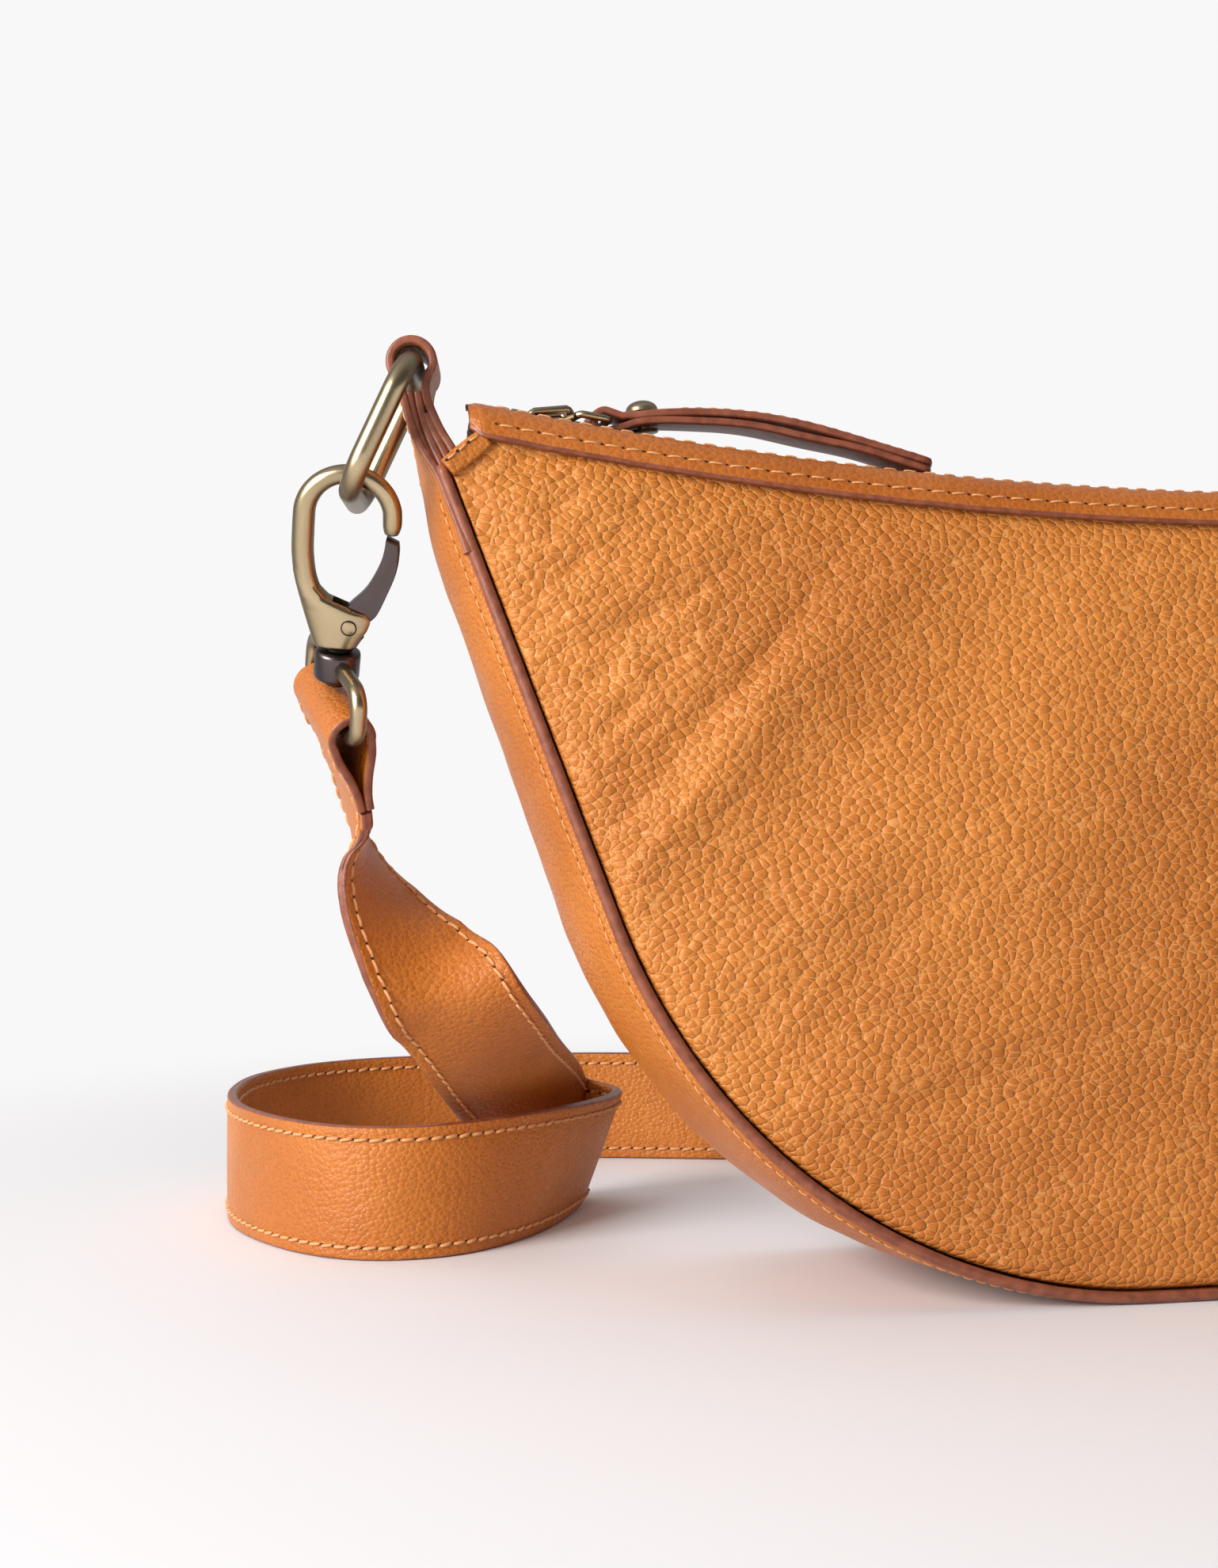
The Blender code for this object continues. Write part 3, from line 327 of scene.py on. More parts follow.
def leather(name, tones, vein, cells, turn, depth, vein_width, vein_share):
    """Grained leather, with cells per metre: a deep and a light tone, and a paler colour in the creases."""
    f = Finish(name, 0.5)
    f.shader.inputs["IOR"].default_value = 1.42
    plain = f.place((1, 1, 1))
    where = f.bend(f.place((cells * 0.86, cells, cells * 1.12), turn), 0.5, 0.7)
    edge = f.cells(where, 1.0, 0.82, "DISTANCE_TO_EDGE")["Distance"]
    cell = f.cells(where, 1.0, 0.82, "F1")
    reach = cell["Distance"]
    small = f.cells(where, 2.6, 1.0, "DISTANCE_TO_EDGE")["Distance"]
    cloud = f.noise(plain, 14.0, 3.0, 0.55)
    patch = f.noise(plain, 70.0, 2.0, 0.5)
    ground = f.mix(f.remap(cloud, 0.36, 0.66), *tones)
    centre = f.remap(reach, 0.08, 0.50, 0.55, 0.0)
    chance = f.node("ShaderNodeSeparateColor", {0: cell["Color"]}).outputs[0]
    centre = f.math("MULTIPLY", centre, f.remap(chance, 0.0, 1.0, 0.35, 1.0, False))
    deep = tuple(channel * share for channel, share in zip(tones[0], (0.80, 0.66, 0.55)))
    ground = f.mix(centre, ground, deep)
    crease = f.remap(edge, 0.0, vein_width, 1.0, 0.0)
    share = f.math("MULTIPLY", crease, f.remap(patch, 0.3, 0.7, vein_share * 0.6, vein_share, False))
    colour = f.mix(share, ground, vein)
    dome = f.math("SUBTRACT", 1.0, f.math("MULTIPLY", f.math("MULTIPLY", reach, reach), 1.3))
    valley = f.remap(edge, 0.0, vein_width * 2.6, 0.0, 0.22)
    fine = f.math("MULTIPLY", f.remap(small, 0.0, 0.2, 0.0, 1.0), 0.07)
    height = f.math("ADD", f.math("ADD", dome, valley), fine)
    gloss = f.remap(f.noise(plain, 90.0, 2.0), 0.3, 0.7, 0.34, 0.46, False)
    return f.wear(colour, gloss, height, depth)


def painted(name, colour, dark, roughness):
    """An edge sealed with several coats of paint: even, a little wavy, darker where it is thin."""
    f = Finish(name, roughness)
    plain = f.place((1, 1, 1))
    spots = f.remap(f.noise(plain, 420.0, 3.0), 0.35, 0.68)
    height = f.math("ADD", f.noise(plain, 260.0, 2.0), f.math("MULTIPLY", f.noise(plain, 1500.0, 1.0), 0.3))
    return f.wear(f.mix(spots, colour, dark), None, height, 0.22, 0.8)


def metal(name, colour, dark, low, high, patina):
    """Plated metal, bright where it faces front or back and darkened elsewhere as a painted dark reflection, with
    patina and fine brush marks.
    """
    f = Finish(name, 0.3, 1.0)
    plain = f.place((1, 1, 1))
    facing = f.node("ShaderNodeSeparateXYZ", {0: f.node("ShaderNodeTexCoord").outputs["Normal"]}).outputs["Y"]
    # Painted dark reflection: the colour goes towards dark where the surface turns away from front and back.
    painted_dark_reflection = f.remap(f.math("ABSOLUTE", facing), 0.45, 1.0, 0.92, 0.0)
    patina_and_painted_reflection = f.math("MAXIMUM", painted_dark_reflection, f.remap(f.noise(plain, 45.0, 2.0, 0.5), 0.35, 0.80, 0.0, patina))
    marks = f.noise(f.place((260, 260, 40), 24), 1.0, 1.0)
    gloss = f.remap(f.math("ADD", f.math("MULTIPLY", marks, 0.6), patina_and_painted_reflection), 0.2, 0.9, low, high, False)
    return f.wear(f.mix(patina_and_painted_reflection, colour, dark), gloss)


def cloth(name, colour, dark, threads):
    """Plain weave, threads per metre."""
    f = Finish(name, 0.9)
    settings = {"Vector": f.place((threads, threads, threads)), "Scale": 0.32}
    waves = []
    for direction in "XZ":
        wave = f.node("ShaderNodeTexWave", settings, wave_type="BANDS", bands_direction=direction)
        waves.append(wave.outputs["Fac"])
    weave = f.math("MULTIPLY", *waves)
    fleck = f.noise(f.place((1, 1, 1)), 300.0, 2.0)
    return f.wear(f.mix(f.math("MULTIPLY", weave, fleck), dark, colour), None, weave, 0.15)


def twisted(name, colour, dark):
    """Waxed thread."""
    f = Finish(name, 0.55)
    twist = f.noise(f.place((2600, 2600, 2600), 35), 1.0, 1.0)
    return f.wear(f.mix(twist, dark, colour), None, twist, 0.05)


PEBBLED_TONES = ((0.470, 0.140, 0.018), (0.590, 0.195, 0.030))
SMOOTH_TONES = ((0.430, 0.122, 0.014), (0.540, 0.172, 0.024))
FACING_TONES = ((0.370, 0.095, 0.011), (0.450, 0.128, 0.018))
PEBBLED = leather("pebbled_leather", PEBBLED_TONES, (0.80, 0.40, 0.13), 580, 33, 0.42, 0.08, 0.52)
SMOOTH = leather("smooth_leather", SMOOTH_TONES, (0.60, 0.24, 0.06), 820, 20, 0.20, 0.10, 0.22)
FACING = leather("facing_leather", FACING_TONES, (0.50, 0.18, 0.05), 720, 10, 0.14, 0.08, 0.30)
EDGE = painted("painted_edge", (0.262, 0.076, 0.036), (0.180, 0.048, 0.024), 0.42)
BROWN = painted("brown_leather", (0.262, 0.076, 0.038), (0.200, 0.056, 0.028), 0.46)
# The metals' dark colour serves both their patina and the painted dark reflection on surfaces that turn away from
# front and back.
BRASS = metal("antique_brass", (0.640, 0.500, 0.300), (0.150, 0.108, 0.066), 0.22, 0.36, 0.5)
GUNMETAL = metal("gunmetal", (0.150, 0.120, 0.116), (0.045, 0.036, 0.036), 0.24, 0.38, 0.6)
LINING = cloth("lining_cloth", (0.36, 0.25, 0.16), (0.20, 0.13, 0.08), 1400)
TAPE = cloth("zip_tape", (0.40, 0.22, 0.10), (0.20, 0.10, 0.045), 2200)
BOARD = painted("board", (0.26, 0.21, 0.16), (0.18, 0.14, 0.10), 0.8)
THREAD = twisted("thread", (0.80, 0.40, 0.16), (0.52, 0.22, 0.075))
# Flat dark discs for needle holes, at the facings' ends and on the pin's groove: painted shade of these hollows.
PAINTED_HOLE_SHADE = painted("needle_hole_painted_shade", (0.030, 0.010, 0.006), (0.015, 0.006, 0.004), 0.9)

# Looks: the materials of a piece, and its slot.
FACE_LOOK = ((PEBBLED,), "pebbled_leather")
FACING_LOOK = ((FACING, EDGE), "pebbled_leather")
GUSSET_LOOK = ((SMOOTH,), "smooth_leather")
STRIP_LOOK = ((SMOOTH, EDGE), "smooth_leather")
SEWN_LOOK = ((THREAD, PAINTED_HOLE_SHADE), "smooth_leather")
TAB_LOOK = ((BROWN, EDGE), "brown_leather")
PIPING_LOOK = ((EDGE,), "painted_edge")
HOLE_SHADE_LOOK = ((PAINTED_HOLE_SHADE,), "painted_edge")
GROOVE_SHADE_LOOK = ((PAINTED_HOLE_SHADE,), "gunmetal")
BRASS_LOOK = ((BRASS,), "antique_brass")
DARK_LOOK = ((GUNMETAL,), "gunmetal")


# ---------------------------------------------------------------- making meshes


def circle(count):
    """The cosine and the sine at even steps round a circle."""
    return [(math.cos(2 * math.pi * k / count), math.sin(2 * math.pi * k / count)) for k in range(count)]


class Shape:
    """Points in millimetres and faces tagged with the number of their material."""

    def __init__(self):
        self.points = []
        self.faces = []
        self.tags = []

    def face(self, first, count, tag=0):
        """One flat face over count points that follow each other."""
        self.faces.append(tuple(range(first, first + count)))
        self.tags.append(tag)

    def disc(self, points, tag=0):
        self.points.extend(points)
        self.face(len(self.points) - len(points), len(points), tag)

    def grid(self, rows, wrap=False, tags=None):
        """Joins rows of points of one length; wrap closes each row on itself."""
        first = len(self.points)
        width = len(rows[0])
        for row in rows:
            self.points.extend(row)
        for i in range(len(rows) - 1):
            for j in range(width if wrap else width - 1):
                a, b = first + i * width + j, first + i * width + (j + 1) % width
                self.faces.append((a, b, b + width, a + width))
                self.tags.append(tags[j] if tags else 0)
        return first, width

    def loft(self, rings, tags=None, end_tag=0):
        """A skin through closed rings with a face over each end."""
        first, width = self.grid(rings, True, tags)
        self.face(first, width, end_tag)
        self.face(first + (len(rings) - 1) * width, width, end_tag)

    def tube(self, path, radius, sides=14, closed=False):
        """A round wire along a path; radius is one number or one for each point."""
        count = len(path)
        radii = radius if isinstance(radius, list) else [radius] * count
        spokes = circle(sides)
        rings = []
        side = None
        for i, point in enumerate(path):
            before = path[i - 1] if closed or i else path[0]
            after = path[(i + 1) % count] if closed or i < count - 1 else path[-1]
            along = (after - before).normalized()
            if side is None:
                side = along.orthogonal()
            side = (side - side.dot(along) * along).normalized()
            other = along.cross(side)
            rings.append([point + (side * c + other * s) * radii[i] for c, s in spokes])
        if closed:
            first = rings[0]
            shift = min(range(sides), key=lambda k: (first[k] - rings[-1][0]).length)
            self.grid(rings + [first[shift:] + first[:shift]], True)
        else:
            self.loft(rings)

    def mesh(self, name, sharp=None):
        """The mesh in metres; edges that turn by more than sharp degrees stay sharp."""
        mesh = bpy.data.meshes.new(name)
        mesh.from_pydata([point * MM for point in self.points], [], self.faces)
        mesh.polygons.foreach_set("material_index", self.tags)
        bm = bmesh.new()
        bm.from_mesh(mesh)
        bmesh.ops.remove_doubles(bm, verts=bm.verts, dist=2e-6)
        bmesh.ops.recalc_face_normals(bm, faces=bm.faces)
        bm.to_mesh(mesh)
        bm.free()
        mesh.shade_smooth()
        if sharp is not None:
            mesh.set_sharp_from_angle(angle=math.radians(sharp))
        return mesh


def placed(name, data):
    """An object with this data, linked into the scene."""
    obj = bpy.data.objects.new(name, data)
    bpy.context.scene.collection.objects.link(obj)
    return obj


def piece(name, form, look, body, *nodes, sharp=None):
    """Adds a Shape or a finished mesh as a piece that rides on a body and stands for CAD nodes."""
    mesh = form.mesh(name, sharp) if isinstance(form, Shape) else form
    materials, slot = look
    obj = placed(name, mesh)
    for material in materials:
        mesh.materials.append(material)
    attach(obj, body)
    if nodes:
        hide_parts(*nodes)
    return obj


def thicken(obj, outwards):
    """Gives an open leather skin its thickness, on the side away from outwards."""
    mesh = obj.data
    if sum((polygon.normal for polygon in mesh.polygons), Vector()).dot(outwards) < 0:
        mesh.flip_normals()
    modifier = obj.modifiers.new("thickness", "SOLIDIFY")
    modifier.thickness = LEATHER * MM
    modifier.offset = -1


def moved(matrix, points):
    return [matrix @ Vector(point) for point in points]


def frame_at(origin, x_axis, y_axis, z_axis):
    return Matrix.Translation(Vector(origin)) @ Matrix((x_axis, y_axis, z_axis)).transposed().to_4x4()


def arc(centre, radius, start, end, count):
    cx, cy = centre
    angles = [math.radians(start + (end - start) * i / count) for i in range(count + 1)]
    return [(cx + radius * math.cos(a), cy + radius * math.sin(a)) for a in angles]


def smooth(points, steps):
    """A Catmull-Rom curve through points of any size."""
    def blended(i, t):
        a, b, c, d = (Vector(points[min(max(i + k, 0), len(points) - 1)]) for k in (-1, 0, 1, 2))
        return 0.5 * (2 * b + (c - a) * t + (2 * a - 5 * b + 4 * c - d) * t**2 + (3 * b - a - 3 * c + d) * t**3)

    made = [blended(i, k / steps) for i in range(len(points) - 1) for k in range(steps)]
    return made + [Vector(points[-1])]


def smooth_pairs(knots, steps):
    """The same curve through points of (x, y)."""
    return [(p.x, p.y) for p in smooth([(x, y, 0) for x, y in knots], steps)]


def spaced(line, step):
    """Stations along a line of (point, direction, ...) at even steps: (point, along, direction, ...)."""
    lengths = [0.0]
    for low, high in zip(line, line[1:]):
        lengths.append(lengths[-1] + (high[0] - low[0]).length)
    count = max(2, round(lengths[-1] / step))
    stations = []
    j = 0
    for i in range(count + 1):
        want = lengths[-1] * i / count
        while j < len(line) - 2 and lengths[j + 1] < want:
            j += 1
        t = (want - lengths[j]) / (lengths[j + 1] - lengths[j])
        along = (line[j + 1][0] - line[j][0]).normalized()
        values = [a.lerp(b, t) for a, b in zip(line[j], line[j + 1])]
        stations.append((values[0], along, *values[1:]))
    return stations


def sew(shape, line, seam, slant):
    """A row of stitches along a line of (point, outward direction), with a flat dark disc between each two as
    painted shade of a needle hole.
    """
    pitch, length, radius = seam
    rise = radius * 0.75
    for index, (point, along, out) in enumerate(spaced(line, pitch)[:-1]):
        out = (out - out.dot(along) * along).normalized()
        turn = Matrix.Rotation(math.radians(slant + 4 * math.sin(index * 2.4)), 3, out)
        run = turn @ along
        middle = point + along * pitch / 2
        path = [middle + run * share * length + out * lift * rise for share, lift in STITCH_VIEW]
        shape.tube(path, [radius * 0.7, radius, radius, radius, radius * 0.7], 6)
        side = along.cross(out)
        # The needle hole: a flat dark disc on the surface, painted shade.
        spokes = [along * c * 2.0 + side * s * 1.35 for c, s in circle(HOLE_SIDES)]
        shape.disc([point + out * 0.04 + spoke * radius for spoke in spokes], 1)


def stitches(name, lines, seam, body="bag", slant=8):
    shape = Shape()
    for line in lines:
        sew(shape, line, seam, slant)
    piece(name, shape, SEWN_LOOK, body)


def strip_section(half_width, half_thickness, groove, seam):
    """The outline across a leather strip, (across, out), and the tags of its sides.

    groove is the distance of the pressed stitch lines from the edge, seam the depth of the dent in the edges.
    """
    t, w = half_thickness, half_width
    half = [(-w + 0.30, t * 0.93)]
    if groove:
        g = w - groove
        half += [(-w + 1.0, t), (-g - 0.7, t), (-g, t - 0.16), (-g + 0.7, t), (-g * 0.5, t * 1.03)]
    else:
        half += [(-w * 0.7, t)]
    face = half + [(0.0, t * (1.04 if groove else 1.03))] + [(-a, b) for a, b in reversed(half)]
    corner = [(w - 0.04, t * 0.66), (w + 0.03, t * 0.30)]
    edge = corner + [(w + 0.02 - seam, 0.0)] + [(a, -b) for a, b in reversed(corner)]
    tags = [0] * (len(face) - 1) + [1] * (len(edge) + 1)
    return face + edge + [(-a, -b) for a, b in face + edge], tags + tags


def strip(shape, stations, half_width, half_thickness, groove=0.0, seam=0.0):
    """A flat leather strip through stations of (point, across, out); half_width is one number or a list."""
    widths = half_width if isinstance(half_width, list) else [half_width] * len(stations)
    rings = []
    for (point, across, out), w in zip(stations, widths):
        outline, tags = strip_section(w, half_thickness, groove, seam)
        rings.append([point + across * a + out * b for a, b in outline])
    shape.loft(rings, tags, 1)


def flat_path(points, matrix):
    """Stations of a strip whose side view is a line of (x, y) in the matrix's XY plane and whose width is Z."""
    line = [Vector((x, y, 0)) for x, y in points]
    across = (matrix.to_3x3() @ Vector((0, 0, 1))).normalized()
    stations = []
    for i, point in enumerate(line):
        along = (line[min(i + 1, len(line) - 1)] - line[max(i - 1, 0)]).normalized()
        out = matrix.to_3x3() @ Vector((-along.y, along.x, 0))
        stations.append((matrix @ point, across, out))
    return stations


def turned(shape, profile, matrix):
    """A profile of (radius, height) turned round the matrix's Z axis."""
    rows = []
    for radius, height in profile:
        r = max(radius, 0.001)
        rows.append([matrix @ Vector((r * c, r * s, height)) for c, s in circle(TURNED_SIDES)])
    shape.grid(rows, True)


# ---------------------------------------------------------------- the body's form


def zip_height(x):
    return ZIP_LOW + ZIP_RADIUS - math.sqrt(ZIP_RADIUS**2 - x**2)


def half_depth(z):
    return FOOT_DEPTH + (CORNER_DEPTH - FOOT_DEPTH) * z / CORNER_HEIGHT


ARC_LENGTH = ARC_RADIUS * ARC_ANGLE
ARC_TOP = ARC_RADIUS * (1 - math.cos(ARC_ANGLE))
OUTLINE_HALF = FOOT_HALF + ARC_LENGTH + (CORNER_HEIGHT - ARC_TOP) / math.sin(ARC_ANGLE)


def side_outline(s, inset):
    """The body's outline at s, 0 at the left corner and 1 at the right, moved inwards: (x, z, lift)."""
    side = -1 if s < 0.5 else 1
    along = abs(s - 0.5) * 2 * OUTLINE_HALF
    angle = min(max(along - FOOT_HALF, 0) / ARC_RADIUS, ARC_ANGLE)
    rest = max(along - FOOT_HALF - ARC_LENGTH, 0)
    x = min(along, FOOT_HALF) + ARC_RADIUS * math.sin(angle) + rest * math.cos(ARC_ANGLE)
    z = ARC_RADIUS * (1 - math.cos(angle)) + rest * math.sin(ARC_ANGLE)
    lift = min(angle / math.radians(30), 1)
    return side * (x - inset * math.sin(angle)), z + inset * math.cos(angle), lift


def eased(value):
    value = min(max(value, 0.0), 1.0)
    return value * value * (3 - 2 * value)


def wrinkle(x, z, side):
    """How far the leather of a face stands out of its smooth form."""
    height = 0.0
    for cx, cz, turn, long, wide, rise in FOLDS:
        angle = math.radians(turn)
        dx, dz = x * -side - cx, z - cz
        u = dx * math.cos(angle) + dz * math.sin(angle)
        v = dz * math.cos(angle) - dx * math.sin(angle) + 1.5 * math.sin(u / 11 + cx)
        height += rise * math.exp(-((u / long) ** 2) - (v / wide) ** 2)
    near = math.exp(-(((abs(x) - 150) / 32) ** 2))
    lean = math.radians(36 if x * side > 0 else -36)
    u, v = x * math.cos(lean) + z * math.sin(lean), z * math.cos(lean) - x * math.sin(lean)
    crease = noise.noise(Vector((u / 15, v / 3.8, side * 5)))
    height += (0.15 + 0.90 * near) * (0.45 - abs(crease) * 1.8)
    height += 0.7 * noise.noise(Vector((u / 46, v / 20, side * 9)))
    return height


def face_point(side, s, t):
    """A point on the outer skin of a face, t going from the outline up to the top line."""
    x0, z0, _ = side_outline(s, PANEL_INSET)
    x1 = PANEL_TOP_HALF * (2 * s - 1)
    z1 = zip_height(x1) - PANEL_TOP_DROP
    x, z = x0 + (x1 - x0) * t, z0 + (z1 - z0) * t
    reach = half_depth(z) + PANEL_PROUD + PANEL_DOME * (4 * t * (1 - t)) ** 0.8 * math.sin(math.pi * s) ** 0.6
    inside = eased(t / 0.10) * eased((1 - t) / 0.10) * eased(s / 0.03) * eased((1 - s) / 0.03)
    tuck = 1.3 * (1 - min(t / 0.018, 1)) ** 2
    return Vector((x, side * (reach + inside * wrinkle(x, z, side) - tuck), z))


def gusset_point(s, w):
    """A point on the gusset's outer skin, w from -1 at the front seam to 1 at the back seam."""
    x, z, lift = side_outline(s, 0)
    bulge = GUSSET_BULGE * (1 - w * w) * lift * eased((178 - z) / 24)
    if lift:
        bulge += 0.35 * (1 - w * w) * noise.noise(Vector((x / 9, w * 2.2, z / 9)))
    reach = half_depth(z) - GUSSET_INSET
    x, z, _ = side_outline(s, -bulge)
    return Vector((x, w * reach, z))


def outward(s):
    """The direction out of the outline."""
    low, high = side_outline(s, 1.0), side_outline(s, 0.0)
    return Vector((high[0] - low[0], 0, high[1] - low[1])).normalized()


def make_face(name, side):
    """One face of the bag and its piping."""
    rows = []
    for i in range(SHELL_STEPS + 1):
        s = i / SHELL_STEPS
        rows.append([face_point(side, s, (j / FACE_ROWS) ** 1.15) for j in range(FACE_ROWS + 1)])
    shape = Shape()
    shape.grid(rows)
    skin = piece(f"{name}_face", shape, FACE_LOOK, "bag", f"{name}_panel")
    thicken(skin, Vector((0, side, 0)))
    path = []
    radii = []
    for i in range(SHELL_STEPS + 1):
        x, z, _ = side_outline(i / SHELL_STEPS, PIPING_INSET)
        path.append(Vector((x, side * half_depth(z), z)))
        radii.append(PIPING_RADIUS + 0.05 * noise.noise(Vector((i * 0.35, side, 0))))
    edge = Shape()
    edge.tube(path, radii)
    piece(f"{name}_edge", edge, PIPING_LOOK, "bag", f"{name}_piping")


def make_gusset():
    """The gusset and its two rows of stitches, which stop short of its ends."""
    half = GUSSET_ROWS / 2
    shape = Shape()
    columns = range(GUSSET_ROWS + 1)
    shape.grid([[gusset_point(i / SHELL_STEPS, -1 + j / half) for j in columns] for i in range(SHELL_STEPS + 1)])
    thicken(piece("gusset_skin", shape, GUSSET_LOOK, "bag", "gusset"), Vector((0, 0, -1)))
    lines = []
    for _, side in SIDES:
        line = []
        for i in range(SHELL_STEPS + 1):
            s = 0.012 + 0.976 * i / SHELL_STEPS
            reach = half_depth(side_outline(s, 0)[1]) - GUSSET_INSET
            out = outward(s)
            line.append((gusset_point(s, side * (1 - 2.3 / reach)) + out * 0.03, out))
        lines.append(line)
    stitches("gusset_stitching", lines, GUSSET_SEAM)


# ---------------------------------------------------------------- the zip and its facings


def band_line(side, x):
    """The facing's outer line, (y, height over the zip), from its painted lower edge to the roll at the zip."""
    low = half_depth(zip_height(x) - BAND_HEIGHT) + 3.6
    knots = [(low + 0.05, -BAND_HEIGHT), (low - 0.15, -6.9), (low - 1.0, -4.4), (low - 2.6, -2.3)]
    knots += [(low - 4.6, -0.95), ((low - 4.6 + BAND_EDGE) / 2, -0.25)]
    knots += [(BAND_EDGE + 0.7, -0.02), (BAND_EDGE + 0.1, -0.45), (BAND_EDGE, -1.1)]
    return [(side * y, h) for y, h in smooth_pairs(knots, 4)]


def band_ring(side, x, reach):
    """The outline across a facing at x; its ends are drawn in."""
    outer = band_line(side, x)
    inner = []
    for k, (y, h) in enumerate(outer):
        (y0, h0), (y1, h1) = outer[max(k - 1, 0)], outer[min(k + 1, len(outer) - 1)]
        share = side * BAND_THICKNESS / math.hypot(y1 - y0, h1 - h0)
        inner.append((y - (h1 - h0) * share, h + (y1 - y0) * share))
    drawn = 1 - 0.30 * eased(1 - (reach - abs(x)) / 2.4)
    ring = outer + inner[::-1]
    cy = sum(y for y, _ in ring) / len(ring)
    ch = sum(h for _, h in ring) / len(ring)
    ripple = 0.12 * noise.noise(Vector((x / 7, side, 0)))
    z = zip_height(x)
    return [Vector((x, cy + (y - cy) * drawn, z + ch + (h - ch) * drawn + ripple)) for y, h in ring]


def make_band(name, side):
    """One facing with its turned-in ends, and its two rows of stitches."""
    reach = BAND_HALF if side < 0 else BAND_HALF - BACK_BAND_SHORTER
    rings = []
    for i in range(BAND_STEPS + 1):
        share = 2 * i / BAND_STEPS - 1
        rings.append(band_ring(side, reach * math.copysign(1 - (1 - abs(share)) ** 1.15, share), reach))
    half = len(rings[0]) // 2
    shape = Shape()
    shape.loft(rings, [1] * 3 + [0] * (2 * half - 5) + [1] * 2, 1)
    piece(f"{name}_facing", shape, FACING_LOOK, "bag", f"zip_band_{name}", sharp=60)
    lines = []
    for low_knot in BAND_SEAM_KNOTS:
        line = []
        for i in range(161):
            x = (ZIP_HALF - 4) * (2 * i / 160 - 1)
            outer = band_line(side, x)
            (y, h), (y1, h1) = outer[low_knot], outer[low_knot + 1]
            out = Vector((0, side * abs(h1 - h) + side * 1e-4, abs(y1 - y))).normalized()
            line.append((Vector((x, y, zip_height(x) + h)) + out * 0.02, out))
        lines.append(line)
    stitches(f"{name}_facing_stitching", lines, FACING_SEAM, slant=5)
    # Flat dark discs at the facing's ends: painted shade of the gap between its layers.
    ends = Shape()
    for _, end in CORNERS:
        x = end * (reach + 0.02)
        y, h = band_line(side, x)[BAND_SEAM_KNOTS[1]]
        middle = Vector((x, y - side * 0.2, zip_height(x) + h - 1.7))
        ends.disc([middle + Vector((end * 0.05, 1.1 * c, 0.7 * s + 0.25)) for c, s in circle(12)])
    piece(f"{name}_facing_painted_gap_shade", ends, HOLE_SHADE_LOOK, "bag")


def make_zip_ends():
    """A folded leather tab that closes the gap between the facings at each end of the zip."""
    for place, end in CORNERS:
        x = end * (ZIP_HALF - 4.6)
        stations = []
        for i in range(13):
            y = 7.4 * (2 * i / 12 - 1)
            middle = Vector((x, y, zip_height(x) - 3.9 - 0.020 * y * y))
            stations.append((middle, Vector((0, 0, 1)), Vector((end, 0, 0))))
        shape = Shape()
        strip(shape, stations, ZIP_END_HALF_WIDTH, ZIP_END_HALF_LAYER)
        piece(f"zip_end_{place}", shape, STRIP_LOOK, "bag", sharp=55)


def make_teeth():
    """Zip teeth: small brass blocks that interlock along the zip's arc."""
    for name, side in SIDES:
        shape = Shape()
        for i in range(int(2 * TEETH_HALF / TOOTH_PITCH)):
            here = zip_frame(-TEETH_HALF + TOOTH_PITCH * (i + (0.5 if side > 0 else 0.0)))
            rings = []
            for y, h, l in TOOTH:
                low, high = TEETH_LEVEL - h, TEETH_LEVEL + h
                corners = ((-l, low), (l, low), (l, high), (-l, high))
                rings.append(moved(here, [(a, side * y, b) for a, b in corners]))
            shape.loft(rings)
        piece(f"zip_row_{name}", shape, BRASS_LOOK, "bag", f"zip_teeth_{name}", sharp=30)


def zip_frame(x):
    angle = math.asin(x / ZIP_RADIUS)
    along = Vector((math.cos(angle), 0, math.sin(angle)))
    up = Vector((-math.sin(angle), 0, math.cos(angle)))
    return frame_at((x, 0, zip_height(x)), along, Vector((0, 1, 0)), up)


def make_corners():
    """The folded strips sewn over the four corners of the faces."""
    lines = []
    for name, side in SIDES:
        out = Vector((0, side, 0))
        for place, end in CORNERS:
            x0, z0, _ = side_outline(0 if end < 0 else 1, PANEL_INSET)
            start = Vector((x0 + end * 0.4, 0, z0 - 1.2))
            finish = Vector((end * CORNER_STRIP_TOP, 0, zip_height(CORNER_STRIP_TOP) - BAND_HEIGHT + 0.3))
            along = (finish - start).normalized()
            across = Vector((along.z, 0, -along.x)) * (-end)
            stations = []
            widths = []
            for i in range(15):
                t = i / 14
                point = start.lerp(finish, t)
                point.y = side * (half_depth(point.z) + 1.7)
                stations.append((point, across, out))
                widths.append(1.5 + 0.7 * math.sin(math.pi * (0.12 + 0.76 * t)) ** 0.5)
            shape = Shape()
            strip(shape, stations, widths, CORNER_STRIP_HALF_LAYER)
            piece(f"corner_{name}_{place}", shape, GUSSET_LOOK, "bag", f"corner_strip_{name}_{place}")
            lines.append([(p - across * 1.3 + Vector((0, side * 1.1, 0)), out) for p, _, _ in stations[1:-1]])
    stitches("corner_stitching", lines, CORNER_SEAM, slant=0)


# ---------------------------------------------------------------- slider and pull


def zip_drop(x):
    return ZIP_RADIUS - math.sqrt(ZIP_RADIUS**2 - x**2)


def arch_height(x):
    u = max(0.0, (x - TAB_START) / (TAB_LENGTH - TAB_START))
    return TAB_ARCH * math.sin(math.pi * u**TAB_ARCH_SHAPE)


